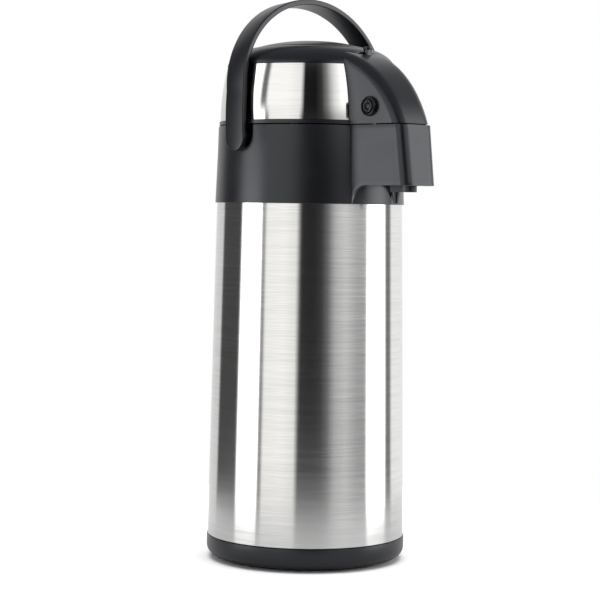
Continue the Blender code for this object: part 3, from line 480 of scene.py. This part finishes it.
def make_base():
    radius = BASE_HIGH.x
    top = BASE_HIGH.z
    outside = [
        (radius - 0.0035, top),
        (radius, top),
        (radius, 0.0110),
        (radius - 0.0005, 0.0083),
        (radius - 0.0015, 0.0062),
        (radius - 0.0030, 0.0044),
        (radius - 0.0048, 0.0031),
        (radius - 0.0066, 0.0024),
        (radius - 0.0080, 0.0024),
        (radius - 0.0080, 0.0056),
        (0.0083, 0.0056),
        (0.0083, 0.0117),
        (0.0200, 0.0117),
        (0.0200, 0.0081),
        (radius - 0.0035, 0.0081),
    ]
    base = lathe("base_skirt", softened(outside, 0.0006, closed=True))
    place(base, "flask", BLACK, "black_plastic", "base_cup")


# ---------------------------------------------------------------- collar and lower nose

def half_width(s):
    """Half the nose's width at a distance forward of the axis."""
    return NOSE_HALF_WIDTH - NOSE_TAPER * (s - NOSE_WIDTH_S)


def make_collar():
    inner = COLLAR_RIM_RADIUS - 0.0032
    sleeve = BODY_TOP_RADIUS + 0.0003
    waist_z = COLLAR_BOTTOM + 0.0453
    deck = 0.3437
    profile = [
        (inner, SEAM_LOW),
        (COLLAR_RIM_RADIUS, SEAM_LOW),
        (COLLAR_RIM_RADIUS + 0.0005, waist_z),
        (COLLAR_FOOT_RADIUS, COLLAR_BOTTOM),
        (sleeve, COLLAR_BOTTOM),
        (sleeve, STEEL_TOP + 0.0088),
        (inner + 0.0005, STEEL_TOP + 0.0120),
        (inner + 0.0002, deck),
        (0.0390, deck),
        (0.0390, deck + 0.0030),
        (inner + 0.0002, deck + 0.0030),
    ]
    collar = lathe("collar_ring", softened(profile, 0.0005, closed=True))
    middle = PIVOT_Z + 0.0040
    for side in (-1, 1):
        floor = side * POCKET_FLOOR
        far = side * (COLLAR_FOOT_RADIUS + 0.01)
        x0, x1 = sorted((side * (POCKET_FLOOR - 0.0030), side * (inner + 0.0006)))
        wide = POCKET_RADIUS + 0.0030
        backing = block("backing", (x0, -wide, deck + 0.002), (x1, wide, SEAM_LOW - 0.0002), 0.0)
        combine(collar, backing, "UNION")
        pocket_end = bar("pocket_end", POCKET_RADIUS, (floor, 0, middle), (far, 0, middle), 64)
        combine(collar, pocket_end, "DIFFERENCE")
        x0, x1 = sorted((floor, far))
        pocket_top = block("pocket_top", (x0, -POCKET_RADIUS, middle),
                           (x1, POCKET_RADIUS, SEAM_LOW + 0.01), 0.0)
        combine(collar, pocket_top, "DIFFERENCE")
    smooth(collar)
    place(collar, "flask", BLACK, "black_plastic", "collar")


def arch_low(s):
    """The lower nose's lower edge: flat in front, and an arch down to the collar's foot behind."""
    near = NOSE_START
    if s >= near + NOSE_ARCH:
        return NOSE_LOW
    if s <= near:
        return COLLAR_BOTTOM
    across = near + NOSE_ARCH - s
    return max(COLLAR_BOTTOM, NOSE_LOW - NOSE_ARCH + math.sqrt(NOSE_ARCH ** 2 - across ** 2))


def lower_front(z):
    rise = (z - NOSE_LOW) / (SEAM_LOW - NOSE_LOW)
    return NOSE_REACH - 0.0064 * rise


def make_lower_nose():
    """Walls along a U, from the collar forward, across the front and back to the collar."""
    back = 0.0770
    near = NOSE_START
    sides = [back, near - 0.0001]
    for i in range(13):
        angle = math.radians(90.0 * i / 12)
        sides.append(near + NOSE_ARCH * (1.0 - math.cos(angle)))
    sides += [0.104, 0.112, 0.120]
    corner = NOSE_CORNER
    columns = [("side", s, 0.0) for s in sides]
    columns += [("corner", 0.0, math.radians(90.0 * i / 12)) for i in range(13)]
    columns += [("front", 0.0, t) for t in (0.2, 0.4, 0.6, 0.8, 1.0)]
    lows = []
    for kind, s, _ in columns:
        lows.append(arch_low(s) if kind == "side" else NOSE_LOW)
    rows = []
    levels = 14
    for i in range(levels + 1):
        share = i / levels
        left = []
        for (kind, s, more), low in zip(columns, lows):
            z = low + (SEAM_LOW - low) * share
            front = lower_front(z)
            if kind == "side":
                left.append((-half_width(s), -s, z))
                continue
            wide = half_width(front - corner)
            if kind == "corner":
                x = wide - corner + corner * math.cos(more)
                left.append((-x, -(front - corner + corner * math.sin(more)), z))
                continue
            left.append((-(wide - corner) * (1.0 - more), -front, z))
        right = [(-x, y, z) for x, y, z in left[-2::-1]]
        rows.append(left + right)
    nose = grid("lower_nose_shell", rows)
    thicken(nose, 0.0030)
    rim = nose.modifiers.new("rim", "BEVEL")
    rim.width = 0.0005
    rim.segments = 2
    rim.limit_method = "ANGLE"
    rim.angle_limit = math.radians(60.0)
    settle(nose)
    smooth(nose, 40.0)
    place(nose, "flask", BLACK, "black_plastic")


def make_hinge_lugs():
    lugs = []
    y = HINGE_Y
    z = HINGE_Z
    for side in (-1, 1):
        x0, x1 = sorted((side * 0.0090, side * 0.0150))
        lugs.append(block("lug", (x0, y - 0.0033, 0.3460), (x1, y + 0.0033, z - 0.0008)))
        lugs.append(bar("eye", 0.0036, (x0, y, z), (x1, y, z), 32, 0.0003))
    place(joined("hinge_lugs", lugs), "flask", BLACK, "black_plastic")


def make_nozzle():
    centre = -(NOZZLE_LOW.y + NOZZLE_HIGH.y) / 2
    low = NOZZLE_LOW.z
    profile = [
        (0.0030, NOZZLE_HIGH.z),
        (0.0045, NOZZLE_HIGH.z),
        (0.0045, NOSE_LOW - 0.0030),
        (0.0021, low),
        (0.0015, low),
        (0.0030, NOSE_LOW - 0.0040),
    ]
    nozzle = lathe("pour_nozzle", softened(profile, 0.0003, closed=True), 40)
    nozzle.data.transform(Matrix.Translation((0.0, -centre, 0.0)))
    place(nozzle, "flask", BLACK, "black_plastic", "nozzle")


# ---------------------------------------------------------------- lid

def band_radius(z):
    rise = (z - BAND_BOTTOM) / (BAND_TOP - BAND_BOTTOM)
    return BAND_RADIUS - BAND_DROP * rise * rise


def dome_points(count=20):
    """The round-over from the button's opening out to the band's top."""
    power = 2.0 / 1.7
    rim = BAND_RADIUS - BAND_DROP
    found = []
    for i in range(count + 1):
        turn = math.radians(90.0 * i / count)
        across = math.sin(turn) ** power
        up = max(math.cos(turn), 0.0) ** power
        found.append((BUTTON_OPENING + (rim - BUTTON_OPENING) * across,
                      BAND_TOP + (DOME_TOP - BAND_TOP) * up))
    return found


def cut_lock_slot(obj):
    """The slot in the lid's top that the pump lock slides in."""
    half = 0.0023
    slot = block("slot", (LOCK_LOW.x - LOCK_TRAVEL, -LOCK_S - half, BAND_TOP - 0.004),
                 (LOCK_HIGH.x, -LOCK_S + half, 0.46), 0.0)
    combine(obj, slot, "DIFFERENCE")


def make_dome():
    wall = 0.0030
    dome = dome_points()
    seat = 0.0011
    groove = []
    for i in range(7):
        z = BAND_TOP + (BAND_BOTTOM - BAND_TOP) * i / 6
        groove.append((band_radius(z) - seat, z))
    inside = []
    for i in range(5):
        z = BAND_BOTTOM + (BAND_TOP - BAND_BOTTOM) * i / 4
        inside.append((band_radius(z) - seat - wall * 0.7, z))
    under = [(r - (wall * 0.8) * (r - BUTTON_OPENING) / 0.03, z - wall) for r, z in dome[::-2]]
    profile = [
        (BUTTON_OPENING, DOME_TOP - 0.0006),
        (BUTTON_OPENING + 0.0006, DOME_TOP),
        *dome[2:],
        *groove,
        (LID_RIM_RADIUS, BAND_BOTTOM),
        (LID_RIM_RADIUS, SEAM_HIGH),
        (BAND_RADIUS - seat - wall, SEAM_HIGH),
        *inside,
        *under,
    ]
    dome_shell = lathe("lid_dome", profile)
    cut_lock_slot(dome_shell)
    smooth(dome_shell, 38.0)
    place(dome_shell, "lid", BLACK, "black_plastic", "lid_shell")


def make_upper_nose():
    """Sections across the nose, along the ellipse that is its top line."""
    centre_s = 0.0400
    centre_z = 0.3400
    reach = 0.0995
    height = 0.1080
    start = math.asin((SEAM_HIGH - centre_z) / height)
    end = math.acos((0.0500 - centre_s) / reach)
    corner = NOSE_CORNER
    count = 40
    rows = []
    for i in range(count + 1):
        angle = start + (end - start) * i / count
        s = centre_s + reach * math.cos(angle)
        z = centre_z + height * math.sin(angle)
        target = Vector((min(0.0700, s - 0.0040), SEAM_HIGH + (z - SEAM_HIGH) * 0.6))
        inward = target - Vector((s, z))
        deepest = inward.length
        inward.normalize()
        left = []
        for k in range(9):
            at = Vector((s, z)) + inward * (deepest + (0.0105 - deepest) * k / 8)
            left.append((-half_width(at.x), -at.x, at.y))
        for k in range(13):
            turn = math.radians(90.0 * k / 12)
            at = Vector((s, z)) + inward * (corner * (1.0 - math.sin(turn)))
            x = half_width(at.x) - corner + corner * math.cos(turn)
            left.append((-x, -at.x, at.y))
        inner_x = half_width(s) - corner
        left += [(-inner_x * (1.0 - t), -s, z) for t in (0.25, 0.5, 0.75, 1.0)]
        rows.append(left + [(-x, y, zz) for x, y, zz in left[-2::-1]])
    nose = grid("lid_nose_shell", rows)
    thicken(nose, 0.0026)
    cut_lock_slot(nose)
    holes = bar("latch_holes", LATCH_RADIUS + 0.0003, (-0.05, LATCH_Y, LATCH_Z), (0.05, LATCH_Y, LATCH_Z), 64)
    combine(nose, holes, "DIFFERENCE")
    smooth(nose, 40.0)
    place(nose, "lid", BLACK, "black_plastic")


def make_band():
    """The steel band, from one side of the nose round the back to the other."""
    skin = 0.0008
    gap = 0.0004
    low = BAND_LOW.z
    high = BAND_HIGH.z
    levels = 16
    steps = ROUND
    rows = []
    for i in range(levels + 1):
        z = low + (high - low) * i / levels
        r = band_radius(z)
        edge = 0.3
        for _ in range(8):
            edge = math.asin((half_width(r * math.cos(edge)) + gap) / r)
        row = []
        for j in range(steps + 1):
            angle = edge + (2.0 * math.pi - 2.0 * edge) * j / steps
            row.append((r * math.sin(angle), -r * math.cos(angle), z))
        rows.append(row)
    band = grid("steel_band", rows)
    thicken(band, skin)
    smooth(band, 40.0)
    place(band, "lid", BAND_STEEL, "brushed_steel", "lid_band")


def make_button():
    top = BUTTON_HIGH.z
    edge = BUTTON_EDGE
    crown = []
    for i in range(25):
        share = i / 24
        crown.append((BUTTON_RADIUS * 0.975 * share, edge + (top - edge) * (1.0 - share ** 2.2)))
    inner = BUTTON_RADIUS - 0.0020
    low = BUTTON_LOW.z
    profile = [
        *crown,
        (BUTTON_RADIUS - 0.0004, edge - 0.0004),
        (BUTTON_RADIUS, edge - 0.0012),
        (BUTTON_RADIUS, low),
        (inner, low),
        (inner, edge - 0.0030),
        (inner * 0.65, edge - 0.0010),
        (0.0080, edge - 0.0143),
        (0.0, edge - 0.0143),
    ]
    button = lathe("button_cap", profile, closed=False)
    half = 0.0033
    notch = block("notch", (LOCK_X - half, -BUTTON_RADIUS - 0.005, low - 0.005),
                  (LOCK_X + half, -inner + 0.006, low + BUTTON_TRAVEL + 0.0008), 0.0)
    combine(button, notch, "DIFFERENCE")
    smooth(button)
    place(button, "pump_button", BLACK, "black_plastic", "pump_button")


# ---------------------------------------------------------------- latches and lock

def make_latches():
    face = LATCH_HIGH.x
    inner = LATCH_LOW.x
    profile = [
        (0.0, face - 0.0006),
        (0.0016, face - 0.0006),
        (0.0022, face - 0.0012),
        (0.0034, face - 0.0020),
        (0.0039, face - 0.0004),
        (0.0050, face - 0.0004),
        (0.0055, face - 0.0022),
        (0.0064, face - 0.0026),
        (0.0070, face - 0.0004),
        (0.0076, face),
        (LATCH_RADIUS, face - 0.0010),
        (LATCH_RADIUS, inner),
        (0.0, inner),
    ]
    for side, word in ((-1, "left"), (1, "right")):
        cap = lathe("cap", softened(profile, 0.0004), 64, closed=False)
        turn = Matrix.Rotation(side * math.pi / 2, 4, "Y")
        cap.data.transform(Matrix.Translation((0.0, LATCH_Y, LATCH_Z)) @ turn)
        x0, x1 = sorted((side * inner, side * (inner + 0.0028)))
        hook = block("hook", (x0, LATCH_Y - 0.0040, LATCH_LOW.z), (x1, LATCH_Y + 0.0040, LATCH_Z))
        latch = joined(f"latch_button_{word}", [cap, hook])
        place(latch, f"latch_{word}", BLACK_TOP, "black_plastic", f"latch_{word}")


def make_lock():
    """A knob and stem in the slot, and the leg and tongue under it that reach the button's skirt."""
    x = LOCK_X
    back = -LOCK_S + 0.0019
    front = -LOCK_S - 0.0019
    half = 0.0025
    leg_back = -0.0605
    leg_front = leg_back - 0.0028
    tread_top = 0.4387
    top = LOCK_HIGH.z
    low = LOCK_LOW.z
    profile = [
        (0.0, top),
        (0.0018, top),
        (0.0024, top - 0.0004),
        (0.0033, top - 0.0003),
        (0.0040, top - 0.0009),
        (0.0040, top - 0.0024),
        (0.0, top - 0.0024),
    ]
    knob = lathe("knob", softened(profile, 0.0003), 48, closed=False)
    knob.data.transform(Matrix.Translation((x, -LOCK_S, 0.0)))
    stem = block("stem", (x - 0.0032, front, 0.4370), (x + 0.0032, back, top - 0.0012))
    tread = block("tread", (x - half, front, tread_top - 0.0022), (x + half, leg_back, tread_top))
    leg = block("leg", (x - half, leg_front, low), (x + half, leg_back, tread_top))
    tongue = block("tongue", (x - half, leg_back - 0.0010, low), (x + half, LOCK_HIGH.y, low + 0.0024))
    lock = joined("lock_knob", [knob, stem, tread, leg, tongue])
    place(lock, "lock_slider", BLACK_TOP, "black_plastic", "lock_slider")


# ---------------------------------------------------------------- soft pieces

def soft_copy(name, node):
    """A CAD node's shape as a piece of its own, with its seams welded."""
    piece = bpy.data.objects.new(name, frame["nodes"][node].data.copy())
    bpy.context.scene.collection.objects.link(piece)
    bm = bmesh.new()
    bm.from_mesh(piece.data)
    bmesh.ops.remove_doubles(bm, verts=bm.verts, dist=0.000001)
    bm.to_mesh(piece.data)
    bm.free()
    return smooth(piece)


def make_soft_pieces():
    """The bellows and spring under the button, and the latches' spring in two halves."""
    for name, node in (("bellows_folds", "bellows"), ("pump_spring", "return_spring")):
        low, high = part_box(node)
        piece = soft_copy(name, node)
        place(piece, "lid", CAD_MATERIALS[SLOTS[node]], SLOTS[node], node)
        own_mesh(piece)
    low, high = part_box("latch_spring")
    margin = 0.01
    for side, word in ((-1, "left"), (1, "right")):
        x0, x1 = sorted((0.0, -side * (high.x + margin)))
        half = soft_copy(f"latch_spring_{word}", "latch_spring")
        other_half = block("other_half", (x0, low.y - margin, low.z - margin),
                           (x1, high.y + margin, high.z + margin), 0.0)
        combine(half, other_half, "DIFFERENCE")
        place(half, "lid", DRAWN, SLOTS["latch_spring"], "latch_spring")
        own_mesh(half)


# ---------------------------------------------------------------- handle

def strap_line(count=72):
    """Points (x, up) along the strap's outer face, from the left arm's end over to the right's."""
    shoulder = 0.0410
    shoulder_outer = ARM_OUTER - 0.0029
    rise = STRAP_RISE - shoulder
    points = []
    for i in range(13):
        down = STRAP_WIDTH / 2 * math.cos(math.radians(90.0 * i / 12)) * 0.997
        points.append((-ARM_OUTER, -down))
    for i in range(1, 9):
        t = i / 9
        points.append((-(ARM_OUTER + (shoulder_outer - ARM_OUTER) * t * t), shoulder * t))
    for i in range(count // 2 + 1):
        angle = math.pi / 2 * i / (count // 2)
        points.append((-shoulder_outer * math.cos(angle), shoulder + rise * math.sin(angle)))
    return points + [(-x, up) for x, up in points[-2::-1]]


def make_handle():
    """A strap of round-cornered section along the line, and the two hubs that it turns on."""
    line = strap_line()
    lean = Matrix.Rotation(-HANDLE_LEAN, 4, "X")
    place_at = Matrix.Translation((0.0, 0.0, PIVOT_Z))
    rings = []
    edge = 0.0011
    for i, (x, up) in enumerate(line):
        before = Vector(line[max(i - 1, 0)])
        after = Vector(line[min(i + 1, len(line) - 1)])
        along = (after - before).normalized()
        inward = Vector((along.y, -along.x))
        half = STRAP_WIDTH / 2
        if up < 0.0:
            half = math.sqrt(max(half * half - up * up, 0.0)) + 0.0004
            inward = Vector((1.0 if x < 0.0 else -1.0, 0.0))
        soft = min(edge, half * 0.5)
        section = []
        for cy, cd, swapped in ((half, 0.0, False), (half, STRAP_THICKNESS, True),
                                (-half, STRAP_THICKNESS, False), (-half, 0.0, True)):
            sy = 1.0 if cy > 0.0 else -1.0
            sd = 1.0 if cd == 0.0 else -1.0
            for k in range(5):
                share = math.radians(90.0 * k / 4)
                oy = math.sin(share)
                od = math.cos(share)
                if swapped:
                    oy, od = od, oy
                section.append((cy - sy * soft * (1.0 - oy), cd + sd * soft * (1.0 - od)))
        ring = []
        for y, depth in section:
            at = Vector((x, up)) + inward * depth
            ring.append(tuple(place_at @ lean @ Vector((at.x, y, at.y))))
        rings.append(ring)
    strap = loft("strap", rings)
    pieces = [smooth(strap, 50.0)]
    inner = ARM_OUTER - STRAP_THICKNESS
    for side in (-1, 1):
        pieces.append(bar("hub", 0.0080, (side * (POCKET_FLOOR + 0.0005), 0, PIVOT_Z),
                          (side * (inner + 0.001), 0, PIVOT_Z), 48, 0.0004))
    handle = joined("carry_handle", pieces)
    smooth(handle, 40.0)
    place(handle, "handle", BLACK, "black_plastic", "handle")


# ---------------------------------------------------------------- studio and camera

CAMERA_AZIMUTH = math.radians(-42.0)
CAMERA_DISTANCE = 1.691
CAMERA_HEIGHT = 0.309
CAMERA_PITCH = math.radians(2.71)
CAMERA_YAW = math.radians(0.25)
CAMERA_ROLL = math.radians(0.78)
FLOOR_RADIUS = 0.45

# The room round the object, as (degrees right of the camera's side, brightness, 255 being white).
# ROOM is at eye level, and ROOM_ABOVE is what a surface that leans back a little reflects.
ROOM = [
    (-180, 205), (-133, 205), (-128, 72), (-92, 70), (-88, 400), (-61, 400), (-59, 120), (-56, 110),
    (-53, 246), (-30, 252), (-15.5, 236), (-10.5, 46), (6, 44), (16, 56), (24, 95), (33, 165), (46, 188),
    (62, 150), (74, 145), (78, 420), (104, 400), (109, 115), (117, 115), (122, 240), (140, 235),
    (180, 205),
]
ROOM_ABOVE = [
    (-180, 215), (-133, 215), (-128, 80), (-92, 80), (-88, 330), (-70, 300), (-66, 110), (-61, 110),
    (-57, 262), (-30, 262), (-13.5, 245), (-8.5, 34), (6, 30), (14, 60), (21, 130), (30, 225), (40, 275),
    (74, 275), (78, 400), (104, 380), (109, 120), (117, 120), (122, 240), (140, 235), (180, 215),
]


def linear(level):
    """A screen brightness from 0 to 255 as light."""
    return (level / 255.0) ** 2.2


def make_room():
    """Light and dark walls that light the object, and a white background that the camera sees."""
    world = bpy.data.worlds.new("studio")
    bpy.context.scene.world = world
    world.use_nodes = True
    tree = world.node_tree
    tree.nodes.clear()
    where = tree.nodes.new("ShaderNodeTexCoord")
    parts = tree.nodes.new("ShaderNodeSeparateXYZ")
    tree.links.new(where.outputs["Generated"], parts.inputs["Vector"])

    ahead = maths(tree, "MULTIPLY", parts.outputs["Y"], -1.0)
    turned_round = maths(tree, "ARCTAN2", parts.outputs["X"], ahead)
    from_camera = maths(tree, "SUBTRACT", turned_round, CAMERA_AZIMUTH)
    turns = maths(tree, "DIVIDE", from_camera, 2.0 * math.pi)
    share = maths(tree, "FRACT", maths(tree, "ADD", turns, 1.5))

    def ramp(levels):
        made = tree.nodes.new("ShaderNodeValToRGB")
        stops = made.color_ramp.elements
        while len(stops) > 1:
            stops.remove(stops[-1])
        for number, (angle, level) in enumerate(levels):
            at = (angle + 180.0) / 360.0
            stop = stops[0] if number == 0 else stops.new(at)
            stop.position = at
            warm = 0.975 if -54 < angle < -14 else 1.0
            value = linear(level)
            stop.color = (value, value, value * warm, 1.0)
        tree.links.new(share, made.inputs["Fac"])
        return made.outputs["Color"]

    def mixed(low, high, first, second):
        """From the first colour at height low to the second at height high."""
        height = tree.nodes.new("ShaderNodeMapRange")
        height.interpolation_type = "SMOOTHSTEP"
        height.inputs["From Min"].default_value = low
        height.inputs["From Max"].default_value = high
        tree.links.new(parts.outputs["Z"], height.inputs["Value"])
        made = tree.nodes.new("ShaderNodeMix")
        made.data_type = "RGBA"
        tree.links.new(height.outputs["Result"], made.inputs["Factor"])
        tree.links.new(first, made.inputs["A"])
        if isinstance(second, tuple):
            made.inputs["B"].default_value = second
        else:
            tree.links.new(second, made.inputs["B"])
        return made.outputs["Result"]

    walls = mixed(0.04, 0.18, ramp(ROOM), ramp(ROOM_ABOVE))
    surroundings = mixed(0.45, 0.75, walls, (0.20, 0.20, 0.21, 1.0))

    path = tree.nodes.new("ShaderNodeLightPath")
    room = tree.nodes.new("ShaderNodeBackground")
    room.inputs["Strength"].default_value = 1.35
    tree.links.new(surroundings, room.inputs["Color"])
    white = tree.nodes.new("ShaderNodeBackground")
    white.inputs["Color"].default_value = (1.0, 1.0, 1.0, 1.0)
    white.inputs["Strength"].default_value = 1.0
    pick = tree.nodes.new("ShaderNodeMixShader")
    out = tree.nodes.new("ShaderNodeOutputWorld")
    tree.links.new(path.outputs["Is Camera Ray"], pick.inputs["Fac"])
    tree.links.new(room.outputs["Background"], pick.inputs[1])
    tree.links.new(white.outputs["Background"], pick.inputs[2])
    tree.links.new(pick.outputs["Shader"], out.inputs["Surface"])


def make_floor():
    """A white floor, which the steel reflects a little darker than it looks."""
    floor = lathe("floor", [(0.0, -0.0005), (0.3, -0.0005), (FLOOR_RADIUS, -0.0005)], 96, closed=False)
    made, tree, shader = new_material("floor_white", (0.93, 0.93, 0.93), 0.9)
    shader.inputs["Specular IOR Level"].default_value = 0.1
    path = tree.nodes.new("ShaderNodeLightPath")
    seen = shades(tree, path.outputs["Is Glossy Ray"], (0.93, 0.93, 0.93), (0.52, 0.52, 0.52))
    tree.links.new(seen, shader.inputs["Base Color"])
    floor.data.materials.append(made)


def make_light():
    lamp = bpy.data.lights.new("overhead", "AREA")
    lamp.shape = "DISK"
    lamp.size = 2.4
    lamp.energy = 62.0
    light = bpy.data.objects.new("overhead", lamp)
    light.location = (0.0, 0.0, 2.0)
    light.visible_glossy = False
    light.visible_camera = False
    bpy.context.scene.collection.objects.link(light)


def make_camera():
    a = CAMERA_AZIMUTH
    away = Vector((math.sin(a), -math.cos(a), 0.0))
    right = Vector((math.cos(a), math.sin(a), 0.0))
    up = Vector((0.0, 0.0, 1.0))
    ahead = -away * math.cos(CAMERA_YAW) - right * math.sin(CAMERA_YAW)
    right = right * math.cos(CAMERA_YAW) - away * math.sin(CAMERA_YAW)
    look = ahead * math.cos(CAMERA_PITCH) - up * math.sin(CAMERA_PITCH)
    up = up * math.cos(CAMERA_PITCH) + ahead * math.sin(CAMERA_PITCH)
    rolled_right = right * math.cos(CAMERA_ROLL) + up * math.sin(CAMERA_ROLL)
    rolled_up = up * math.cos(CAMERA_ROLL) - right * math.sin(CAMERA_ROLL)
    camera = bpy.data.objects.new("camera", bpy.data.cameras.new("camera"))
    camera.data.sensor_width = 36.0
    camera.data.lens = 114.0
    turn = Matrix((rolled_right, rolled_up, -look)).transposed().to_4x4()
    camera.matrix_world = Matrix.Translation(away * CAMERA_DISTANCE + Vector((0, 0, CAMERA_HEIGHT))) @ turn
    bpy.context.scene.collection.objects.link(camera)
    bpy.context.scene.camera = camera


make_body()
make_base()
make_collar()
make_lower_nose()
make_hinge_lugs()
make_nozzle()
make_dome()
make_upper_nose()
make_band()
make_button()
make_latches()
make_lock()
make_soft_pieces()
make_handle()
make_room()
make_floor()
make_light()
make_camera()
bpy.context.scene.view_settings.view_transform = "Standard"
